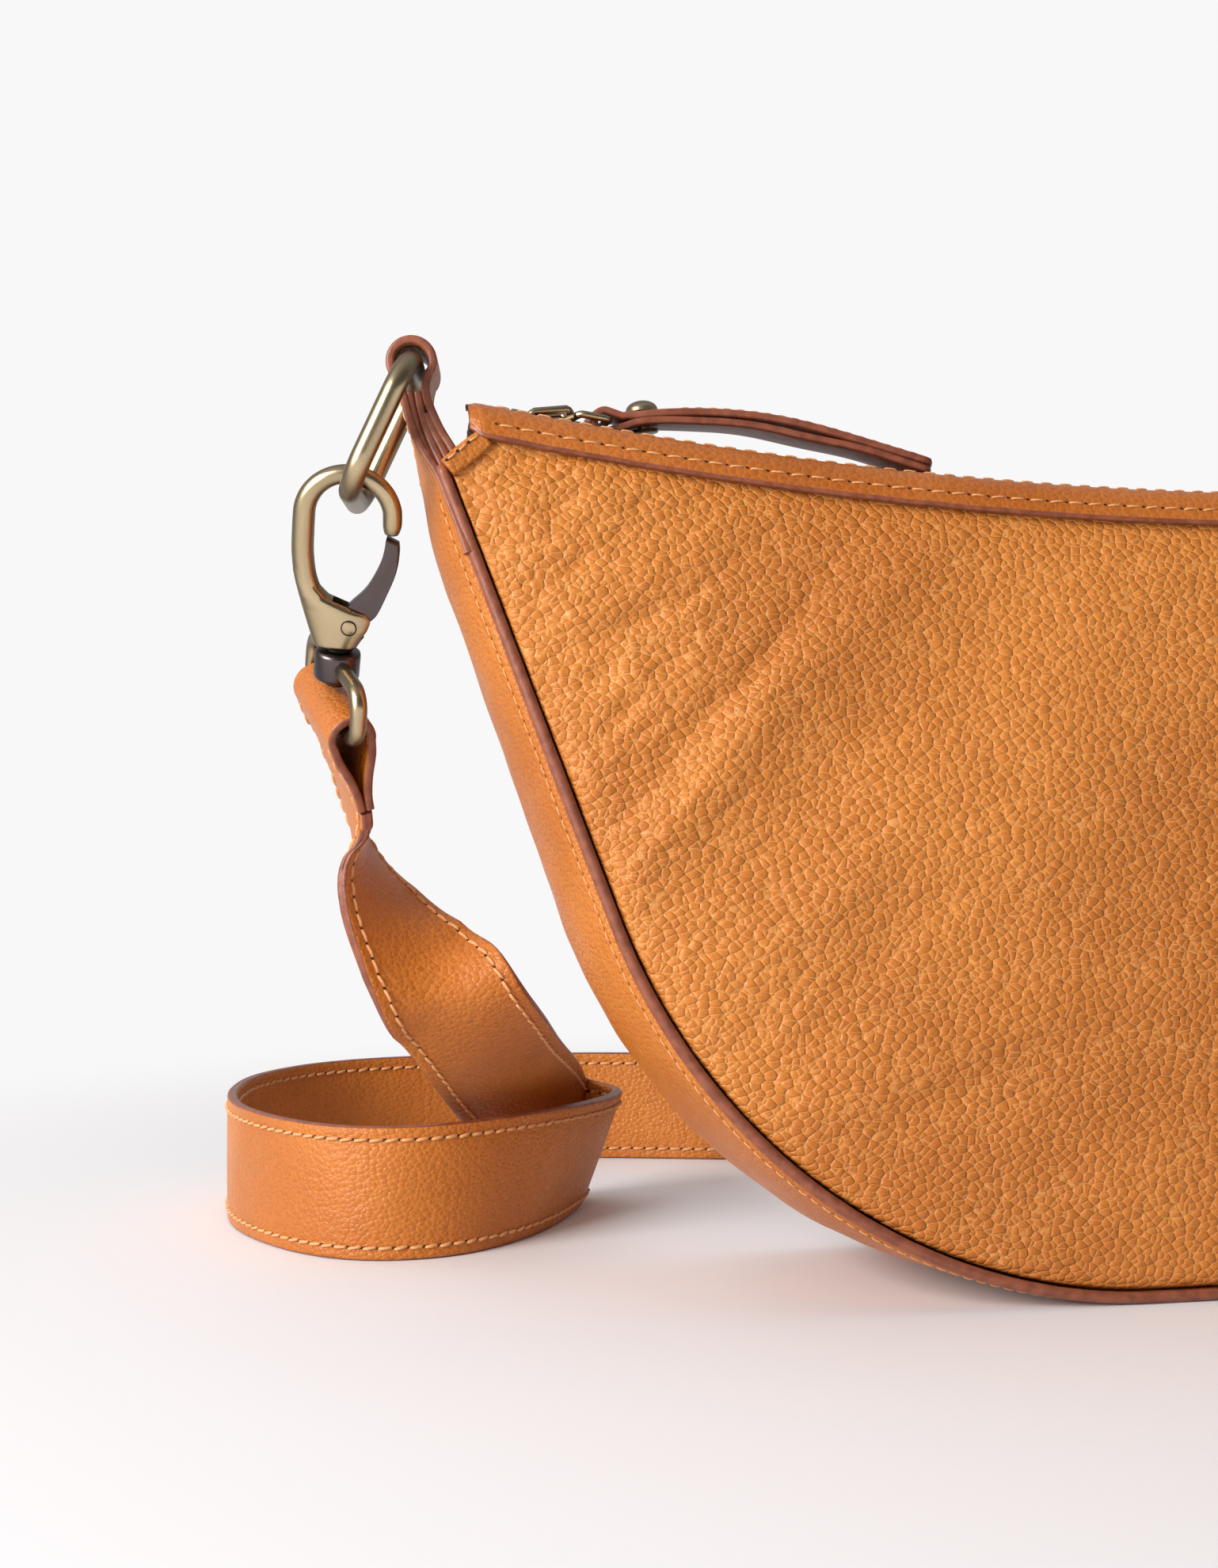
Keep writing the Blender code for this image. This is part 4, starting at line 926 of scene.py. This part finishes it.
def make_bail(here):
    half, corner, foot = BAIL_HALF_WIDTH, 1.2, 1.6
    path = arc((BAIL_LENGTH - corner, half - corner), corner, 90, 0, 6)
    path += arc((BAIL_LENGTH - corner, corner - half), corner, 0, -90, 6)
    path += arc((foot, foot - half), foot, -90, -180, 6) + arc((foot, half - foot), foot, 180, 90, 6)
    slope = BAIL_RISE / BAIL_LENGTH
    wire = []
    for x, y in path:
        arch = BAIL_ARCH * max(math.sin(math.pi * x / BAIL_LENGTH), 0.0) ** 0.75
        wire.append((x, y, BAIL_LEVEL + slope * x + arch))
    shape = Shape()
    shape.tube(moved(here, wire), BAIL_WIRE, 14, True)
    piece("bail", shape, BRASS_LOOK, "slider_bail", "slider_bail")


def make_link(here):
    """A wire that is narrow where it hangs in the bail and as wide as the tab at its other end."""
    loop = arc((TAB_X - 1.8, 4.6), 1.9, 90, 0, 6) + arc((TAB_X - 1.8, -4.6), 1.9, 0, -90, 6)
    loop += arc((BAIL_LENGTH + 2.6, -4.0), 2.4, -90, -150, 5)
    loop += arc((BAIL_LENGTH - 2.2, 0.0), 1.5, -120, -240, 8)
    loop += arc((BAIL_LENGTH + 2.6, 4.0), 2.4, 150, 90, 5)
    wire = []
    for x, y in smooth_pairs([loop[-1], *loop, loop[0], loop[1]], 2)[2:-2]:
        wire.append((x, y, LINK_LEVEL - 1.75 * eased((BAIL_LENGTH + 1.8 - x) / 3.4)))
    shape = Shape()
    shape.tube(moved(here, wire), LINK_WIRE, 12, True)
    piece("link", shape, BRASS_LOOK, "puller_link", "puller_link")


def make_tab(here):
    """The puller: one strip folded round the link, its two layers sewn together."""
    top, bottom = [], []
    for i in range(TAB_STEPS + 1):
        x = TAB_START + 0.6 + (TAB_LENGTH - TAB_START - 0.6) * i / TAB_STEPS
        middle = LINK_LEVEL - 0.1 + arch_height(x) + zip_drop(TAB_X + x)
        spread = 0.81 + 0.5 * math.exp(-(((x - 3.2) / 1.8) ** 2)) + 0.35 * math.sin(math.pi * eased((x - 12) / 52))
        top.append((TAB_X + x, middle + spread))
        bottom.append((TAB_X + x, middle - spread + 0.15 * math.sin(x / 4)))
    line = top[::-1] + arc((TAB_X - 0.5, LINK_LEVEL), 2.25, 75, 278, 16) + bottom
    stations = flat_path(line, here @ Matrix.Rotation(math.radians(90), 4, "X"))
    tip, corner = TAB_X + TAB_LENGTH, 3.2
    widths = []
    for x, _ in line:
        w = TAB_HALF_WIDTH - 0.8 * eased((TAB_X + 10 - x) / 7)
        if x > tip - corner:
            w -= corner - math.sqrt(max(corner**2 - (x - tip + corner) ** 2, 0.0))
        widths.append(w)
    shape = Shape()
    strip(shape, stations, widths, TAB_LAYER / 2)
    piece("puller_leather", shape, TAB_LOOK, "puller_tab", "puller_tab", sharp=50)
    up = here.to_3x3() @ Vector((0, 0, 1))
    lines = []
    for y in (TAB_SEAM_INSET - TAB_HALF_WIDTH, TAB_HALF_WIDTH - TAB_SEAM_INSET):
        lines.append([(here @ Vector((x, y, z + TAB_LAYER / 2 + 0.02)), up) for x, z in top[10:-3]])
    stitches("puller_stitching", lines, PULLER_SEAM, "puller_tab")


def make_rivet(here):
    tilt = Matrix.Rotation(-math.atan(arch_height(RIVET_AT + 0.5) - arch_height(RIVET_AT - 0.5)), 4, "Y")
    height = LINK_LEVEL - 0.1 + arch_height(RIVET_AT) + zip_drop(TAB_X + RIVET_AT)
    level = here @ Matrix.Translation((TAB_X + RIVET_AT, 0, height)) @ tilt
    reach = TAB_LAYER + 0.35
    quarter = [math.pi / 2 * k / 8 for k in range(9)]
    head = [(3.4 * math.cos(a), reach + 0.25 + 2.1 * math.sin(a)) for a in reversed(quarter)]
    head += [(3.5, reach), (3.2, reach - 0.3), (1.2, reach - 0.3), (1.2, -reach), (3.1, -reach)]
    shape = Shape()
    turned(shape, head, level)
    turned(shape, [(3.1, -reach), (3.3, -reach - 0.3), (3.0, -reach - 0.75), (0, -reach - 0.85)], level)
    piece("rivet", shape, BRASS_LOOK, "puller_tab", "puller_rivet", sharp=50)


# ---------------------------------------------------------------- loops, rings and hooks


def ring_axes():
    bar = Vector((math.sin(LOOP_TOE_IN), math.cos(LOOP_TOE_IN), 0))
    level = Vector((math.cos(LOOP_TOE_IN), -math.sin(LOOP_TOE_IN), 0))
    hang = -math.sin(RING_LEAN) * level - math.cos(RING_LEAN) * Vector((0, 0, 1))
    return bar, hang


def hook_axes():
    up = (HOOK_CENTRE - EYE_BAR).normalized()
    guess = Vector((0.978, -0.208, 0))
    across = (guess - guess.dot(up) * up).normalized()
    return across, up.cross(across), up


def loop_stations(knots, spread):
    """Stations and widths of a leather layer of a loop, through knots of (level, height) from its centre.

    Low down the layer lies square to the bag, as wide as the gusset; at the ring it is turned with the ring's bar.
    """
    bar, _ = ring_axes()
    level = Vector((bar.y, -bar.x, 0))
    centres = [LOOP_CENTRE + level * x + Vector((0, 0, y)) for x, y in smooth_pairs(knots, 4)]
    stations = []
    widths = []
    for i, point in enumerate(centres):
        along = (centres[min(i + 1, len(centres) - 1)] - centres[max(i - 1, 0)]).normalized()
        share = eased((point.z - 168) / 12)
        across = Vector((0, 1, 0)).lerp(bar, share)
        across = (across - across.dot(along) * along).normalized()
        stations.append((point, across, along.cross(across).normalized()))
        reach = half_depth(min(point.z, CORNER_HEIGHT)) - 0.6
        widths.append(reach + (LOOP_HALF_WIDTH - reach) * share - spread)
    return stations, widths


# The loop's layers, (level, height) from its centre: up the outside, down the inside, and what fills it.
LOOP_OUTER_LAYER = [(9.6, -40.0), (7.6, -34.0), (5.6, -28.5), (3.9, -24.0)]
LOOP_OUTER_LAYER += [(1.4, -17.6), (-0.9, -9.7), (-2.0, -6.0)]
LOOP_INNER_LEG = [(2.9, -5.6), (3.5, -8.6), (5.2, -12.6), (7.3, -17.0), (8.6, -21.0)]
LOOP_FILLERS = (
    [(-0.4, -6.4), (0.2, -9.7), (2.2, -17.6), (3.6, -23.0)],
    [(1.3, -6.2), (1.9, -9.7), (3.9, -17.4), (5.2, -23.0)],
    [(3.0, -10.6), (4.1, -13.4), (5.6, -17.4), (6.9, -23.0)],
)


def make_loop(place, mirror):
    """The gusset's end: its leather goes over the ring's bar and back, with filler layers between its legs."""
    shape = Shape()
    outer = LOOP_OUTER_LAYER + arc((0, 0), LOOP_MIDLINE, 208, -38, 22) + LOOP_INNER_LEG
    stations, widths = loop_stations(outer, 0.0)
    strip(shape, stations, widths, LOOP_HALF_LAYER, LOOP_SEAM_INSET)
    for knots in LOOP_FILLERS:
        strip(shape, *loop_stations(knots, 0.35), LOOP_HALF_FILLER)
    shape.points = moved(mirror, shape.points)
    piece(f"loop_{place}", shape, STRIP_LOOK, "bag", f"ring_loop_{place}", sharp=55)
    lines = []
    for edge in (-1, 1):
        line = []
        for (p, across, out), w in list(zip(stations, widths))[16:27]:
            away = out if out.x < 0 else -out
            line.append((mirror @ (p + across * edge * (w - LOOP_SEAM_INSET) + away * 0.82), mirror.to_3x3() @ away))
        lines.append(line)
    stitches(f"loop_stitching_{place}", lines, LOOP_SEAM)


def make_ring(place, mirror):
    bar, hang = ring_axes()
    half = RING_LENGTH / 2
    reach = RING_HALF_WIDTH - RING_CORNER
    path = arc((reach, half - RING_CORNER), RING_CORNER, 90, 0, 16)
    path += arc((reach, RING_CORNER - half), RING_CORNER, 0, -90, 16)
    path += [(-x, y) for x, y in reversed(path)]
    matrix = mirror @ frame_at(LOOP_CENTRE + hang * half, bar, -hang, -bar.cross(hang))
    shape = Shape()
    shape.tube(moved(matrix, [(x, y, 0) for x, y in path]), RING_WIRE, 24, True)
    piece(f"ring_{place}_wire", shape, BRASS_LOOK, f"ring_{place}", f"strap_ring_{place}")


def fused(name, mesh, voxel, rounds):
    """The pieces of a casting run together: remeshed as one skin and smoothed."""
    obj = placed(name, mesh)
    remesh = obj.modifiers.new("fuse", "REMESH")
    remesh.mode = "VOXEL"
    remesh.voxel_size = voxel * MM
    remesh.use_smooth_shade = True
    soften = obj.modifiers.new("soften", "SMOOTH")
    soften.factor = 0.5
    soften.iterations = rounds
    return obj


def baked(obj, name):
    """The object's finished shape as a mesh of its own."""
    bpy.context.view_layer.update()
    graph = bpy.context.evaluated_depsgraph_get()
    mesh = bpy.data.meshes.new_from_object(obj.evaluated_get(graph))
    mesh.name = name
    bpy.data.objects.remove(obj, do_unlink=True)
    return mesh


def oval(centre, half_x, half_y, z):
    """A ring that is fuller than an ellipse."""
    ring = []
    for c, s in circle(28):
        x = math.copysign(abs(c) ** OVAL_POWER, c) * half_x
        y = math.copysign(abs(s) ** OVAL_POWER, s) * half_y
        ring.append(Vector((centre + x, y, z)))
    return ring


# The casting's base, from the arm down to the neck: height, left side, right side, half thickness.
HOOK_BASE = (
    (-12.5, -10.8, -6.8, 2.1),
    (-15.5, -10.0, -5.3, 2.4),
    (-18.0, -9.2, -2.6, 2.7),
    (-19.6, -8.7, 2.4, 2.9),
    (-20.8, -8.3, 6.2, 3.0),
    (-22.2, -7.8, 7.3, 3.1),
    (-24.4, -7.0, 6.6, 3.1),
    (-26.8, -6.1, 5.0, 3.0),
    (-28.8, -5.4, 3.9, 2.9),
    (-29.2, -4.6, 3.4, 2.6),
)


# Profiles turned round the hook's own axis or its pin: (radius, height).
STEM = [(0, -28.9), (3.3, -28.9), (3.1, -29.5), (1.5, -29.7), (1.5, -36.4), (2.5, -36.5), (2.6, -37.0)]
STEM += [(2.1, -37.8), (0, -38.0)]
PIN_HEAD = [(0, 3.45), (1.1, 3.42), (1.45, 3.25), (1.5, 3.0), (1.0, 3.0)]
PIN_PROFILE = PIN_HEAD + [(radius, -height) for radius, height in reversed(PIN_HEAD)]

# The gate's inner and outer edge, (x, z) from the hook's centre, and its sections: depth, share of its outline.
GATE_INNER = ((8.3, -3.35), (8.15, -5.5), (7.3, -9.7), (4.9, -15.2), (1.6, -19.2), (0.0, -21.8))
GATE_OUTER = ((4.2, -24.2), (6.4, -22.3), (7.7, -20.6), (9.2, -16.6), (10.9, -11.0), (11.2, -6.5), (10.9, -4.4))
GATE_SECTIONS = ((-1.5, 0.94), (-1.3, 0.985), (-1.0, 1.0), (1.0, 1.0), (1.3, 0.985), (1.5, 0.94))

# The slot that the gate swings in: half depth, left, right, bottom and top.
GATE_SLOT = (1.7, -1.9, 13, -26.4, -17.4)


def make_casting(place, matrix):
    """The hook's arm, base and neck run together, with the gate's slot cut out."""
    knots = [(9.15, 0, -2.9), (9.2, 0, -0.5)]
    knots += [(x, 0, z) for x, z in arc((0, 0), HOOK_RADIUS, 12, 180, 24)]
    knots += [(-9.15, 0, -4), (-8.9, 0, -9), (-8.0, 0, -14), (-6.4, 0, -18.0)]
    path = smooth(knots, 3)
    radii = []
    for i in range(len(path)):
        share = i / (len(path) - 1)
        thicker = 0.93 + 0.15 * eased((share - 0.5) / 0.4)
        radii.append(HOOK_WIRE * thicker * (1 - 0.25 * eased((0.03 - share) / 0.03)))
    shape = Shape()
    shape.tube(path, radii, 20)
    shape.loft([oval((a + b) / 2, (b - a) / 2, t, z) for z, a, b, t in HOOK_BASE])
    casting = fused("casting", shape.mesh("casting"), CASTING_VOXEL, SOFTENINGS)
    deep, left, right, *levels = GATE_SLOT
    corners = ((left, -deep), (right, -deep), (right, deep), (left, deep))
    slot = Shape()
    slot.loft([[Vector((x, y, z)) for x, y in corners] for z in levels])
    cutter = placed("slot", slot.mesh("slot"))
    cut = casting.modifiers.new("slot", "BOOLEAN")
    cut.operation = "DIFFERENCE"
    cut.solver = "EXACT"
    cut.object = cutter
    mesh = baked(casting, f"hook_{place}_casting")
    bpy.data.objects.remove(cutter, do_unlink=True)
    for step in (Matrix.Scale(1 / MM, 4), matrix, Matrix.Scale(MM, 4)):
        mesh.transform(step)
    if matrix.determinant() < 0:
        mesh.flip_normals()
    mesh.materials.clear()
    mesh.shade_smooth()
    mesh.set_sharp_from_angle(angle=math.radians(48))
    piece(mesh.name, mesh, BRASS_LOOK, f"hook_{place}", f"hook_body_{place}")


def make_gate(place, matrix):
    pairs = [smooth_pairs(knots, 4) for knots in (GATE_INNER, GATE_OUTER)]
    outline = pairs[0] + arc(PIN, 2.3, 190, 335, 10) + pairs[1]
    cx = sum(x for x, _ in outline) / len(outline)
    cz = sum(z for _, z in outline) / len(outline)
    rings = []
    for y, shrink in GATE_SECTIONS:
        rings.append(moved(matrix, [(cx + (x - cx) * shrink, y, cz + (z - cz) * shrink) for x, z in outline]))
    shape = Shape()
    shape.loft(rings)
    piece(f"gate_{place}_lever", shape, DARK_LOOK, f"gate_{place}", f"hook_gate_{place}", sharp=40)


def make_hook(place, mirror):
    body = f"hook_{place}"
    matrix = mirror @ frame_at(HOOK_CENTRE, *hook_axes())
    make_casting(place, matrix)
    shape = Shape()
    turned(shape, STEM, matrix)
    piece(f"hook_{place}_stem", shape, DARK_LOOK, body, sharp=45)
    across = matrix @ Matrix.Translation((PIN[0], 0, PIN[1])) @ Matrix.Rotation(math.radians(90), 4, "X")
    shape = Shape()
    turned(shape, PIN_PROFILE, across)
    piece(f"pin_{place}", shape, BRASS_LOOK, body, f"gate_pin_{place}", sharp=45)
    # Thin dark rings on the pin's heads: painted shade of a groove.
    shape = Shape()
    for level in (3.22, -3.22):
        turned(shape, [(1.45, level - 0.06), (1.72, level), (1.45, level + 0.06)], across)
    piece(f"pin_{place}_groove", shape, GROOVE_SHADE_LOOK, body)
    make_gate(place, matrix)


def make_eye(place, mirror):
    matrix = mirror @ frame_at(HOOK_CENTRE, *hook_axes())
    across, through, up = hook_axes()
    side = (EYE_BAR_AXIS - EYE_BAR_AXIS.dot(up) * up).normalized()
    turn = math.atan2(-side.dot(across), side.dot(through))
    swivelled = matrix @ Matrix.Rotation(turn, 4, "Z")
    drop = (HOOK_CENTRE - EYE_BAR).length
    path = [(3.2, -32.9), (8.0, -32.9)] + arc((EYE_HALF - 4.5, -37.4), 4.5, 90, 0, 8)
    path += arc((EYE_HALF - 4.0, 4.0 - drop), 4.0, 0, -90, 8)
    path += [(-x, z) for x, z in reversed(path)]
    shape = Shape()
    shape.tube(moved(swivelled, [(0, y, z) for y, z in path]), EYE_WIRE, 20)
    piece(f"eye_{place}_wire", shape, BRASS_LOOK, f"eye_{place}", f"swivel_eye_{place}")
    r = EYE_CAP_RADIUS
    cap = [(1.9, -29.9), (r - 0.7, -29.9), (r - 0.15, -30.2), (r, -30.8)]
    cap += [(r, -35.4), (r - 0.2, -36.1), (r - 0.8, -36.5), (1.9, -36.5)]
    shape = Shape()
    turned(shape, cap, matrix)
    piece(f"eye_{place}_cap", shape, DARK_LOOK, f"eye_{place}", sharp=50)


# ---------------------------------------------------------------- the strap


def make_fold(place, mirror):
    """The strap's end round the eye's bar: two layers sewn together below it."""
    down = Vector(STRAP_ROUTE[0][0]) - EYE_BAR
    down = (down - down.dot(EYE_BAR_AXIS) * EYE_BAR_AXIS).normalized()
    face = (-down).cross(EYE_BAR_AXIS)
    matrix = mirror @ frame_at(EYE_BAR + down * 0.5, face, -down, face.cross(-down))
    leg = [(-1.0, -FOLD_LENGTH), (-1.15, -14.0), (-2.1, -9.5), (-3.6, -4.8)]
    knots = [(-1.05, -FOLD_LENGTH - 3.0)] + leg + arc((0, 0), FOLD_MIDLINE, 200, -20, 18)
    knots += [(-x, y) for x, y in reversed(leg)]
    stations = flat_path(smooth_pairs(knots, 3)[3:], matrix)
    shape = Shape()
    strip(shape, stations, STRAP_HALF_WIDTH, FOLD_HALF_LAYER, STITCH_INSET)
    piece(f"fold_{place}", shape, STRIP_LOOK, "bag", f"strap_fold_{place}", sharp=55)
    lines = []
    for chosen in (stations[:13], stations[-13:]):
        for z in SEWN_EDGES:
            lines.append([(p + a * z + o * 0.80, o) for p, a, o in chosen])
    stitches(f"fold_stitching_{place}", lines, FOLD_SEAM)


STRAP_NODES = ("strap_drop_left", "strap_floor_loop_front", "strap_floor_loop_back")
STRAP_NODES += ("strap_back_run", "strap_drop_right")


def make_strap():
    points = smooth([point for point, _ in STRAP_ROUTE], ROUTE_STEPS)
    widths = smooth([width for _, width in STRAP_ROUTE], ROUTE_STEPS)
    stations = []
    for point, along, width in spaced(list(zip(points, widths)), STRAP_STEP):
        width = (width - width.dot(along) * along).normalized()
        stations.append((point, width, along.cross(width)))
    shape = Shape()
    strip(shape, stations, STRAP_HALF_WIDTH, STRAP_HALF_THICKNESS, STITCH_INSET, EDGE_DENT)
    piece("strap", shape, STRIP_LOOK, "bag", *STRAP_NODES, sharp=55)
    lines = []
    for z in SEWN_EDGES:
        for out_side in (-1, 1):
            level = out_side * (STRAP_HALF_THICKNESS - 0.13)
            lines.append([(p + w * z + o * level, o * out_side) for p, w, o in stations])
    stitches("strap_stitching", lines, STRAP_SEAM)


# ---------------------------------------------------------------- what stays from the CAD


def dress_nodes():
    """Materials for the CAD nodes that stay in view."""
    finishes = {"lining": LINING, "zip_": BRASS, "zip_tape": TAPE, "foot_board": BOARD, "gate_spring": GUNMETAL}
    for name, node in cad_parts.items():
        chosen = [finish for start, finish in finishes.items() if name.startswith(start)]
        if chosen:
            node.data.materials.clear()
            node.data.materials.append(chosen[-1])


# ---------------------------------------------------------------- floor, lights and camera


def make_floor():
    """White paper that runs out into the backdrop."""
    shape = Shape()
    shape.grid([[Vector((r * c, r * s, 0)) for c, s in circle(64)] for r in FLOOR_RADII], True)
    mesh = shape.mesh("floor")
    floor = placed("floor", mesh)
    finish = Finish("floor_paper", 0.75)
    finish.shader.inputs["Base Color"].default_value = FLOOR_PAPER
    place = finish.node("ShaderNodeTexCoord").outputs["Object"]
    distance = finish.node("ShaderNodeVectorMath", {0: place}, operation="LENGTH").outputs["Value"]
    glow = finish.node("ShaderNodeEmission", {"Color": BACKDROP, "Strength": 1.0})
    shaders = {0: finish.remap(distance, *FLOOR_FADE), 1: finish.shader.outputs[0], 2: glow.outputs[0]}
    finish.show("OUTPUT_MATERIAL", finish.node("ShaderNodeMixShader", shaders))
    mesh.materials.append(finish.material)


def soft_light(name, place, target, size, power, mirrored=True):
    data = bpy.data.lights.new(name, "AREA")
    data.shape = "RECTANGLE"
    data.size, data.size_y = size
    data.energy = power
    light = placed(name, data)
    light.location = place
    light.visible_glossy = mirrored
    light.rotation_euler = (Vector(target) - Vector(place)).to_track_quat("-Z", "Y").to_euler()


def make_world():
    """The camera sees a plain white backdrop; the bag is lit by a room that is bright behind and to the left."""
    world = bpy.data.worlds.new("studio")
    bpy.context.scene.world = world
    world.use_nodes = True
    room = Nodes(world.node_tree)
    shown = room.tree.nodes["Background"]
    shown.inputs["Color"].default_value = BACKDROP
    place = room.node("ShaderNodeTexCoord").outputs["Generated"]
    settings = {0: place, 1: BRIGHT_SIDE}
    aim = room.node("ShaderNodeVectorMath", settings, operation="DOT_PRODUCT").outputs["Value"]
    lit = room.node("ShaderNodeBackground", {"Color": ROOM_TONE, "Strength": room.remap(aim, *ROOM_FADE, False)})
    seen = room.node("ShaderNodeLightPath").outputs["Is Camera Ray"]
    room.show("OUTPUT_WORLD", room.node("ShaderNodeMixShader", {0: seen, 1: lit.outputs[0], 2: shown.outputs[0]}))
    bpy.context.scene.view_settings.view_transform = "Standard"


def make_lights():
    soft_light("key", (-1.20, -0.64, 0.55), (0.0, 0.0, 0.08), (0.7, 0.7), 25)
    soft_light("front", (-0.3, -1.8, 0.9), (0.0, 0.0, 0.05), (1.3, 1.0), 5.5, False)
    soft_light("top", (-0.5, 0.2, 1.6), (-0.1, 0.0, 0.0), (1.2, 1.2), 5, False)


def make_camera():
    data = bpy.data.cameras.new("camera")
    data.lens = CAMERA_LENS
    data.sensor_width = 36
    data.clip_start = 0.01
    camera = placed("camera", data)
    camera.location = CAMERA_PLACE
    camera.rotation_euler = (math.radians(90), 0, CAMERA_TURN)
    bpy.context.scene.camera = camera


make_camera()
make_floor()
make_world()
make_lights()
for side_name, side_sign in SIDES:
    make_face(side_name, side_sign)
make_gusset()
for side_name, side_sign in SIDES:
    make_band(side_name, side_sign)
make_zip_ends()
make_teeth()
make_corners()
for make_pull_part in (make_bail, make_link, make_tab, make_rivet):
    make_pull_part(zip_frame(SLIDER_X))
for end_name, end_mirror in ENDS:
    make_loop(end_name, end_mirror)
    make_ring(end_name, end_mirror)
    make_hook(end_name, end_mirror)
    make_eye(end_name, end_mirror)
    make_fold(end_name, end_mirror)
make_strap()
dress_nodes()
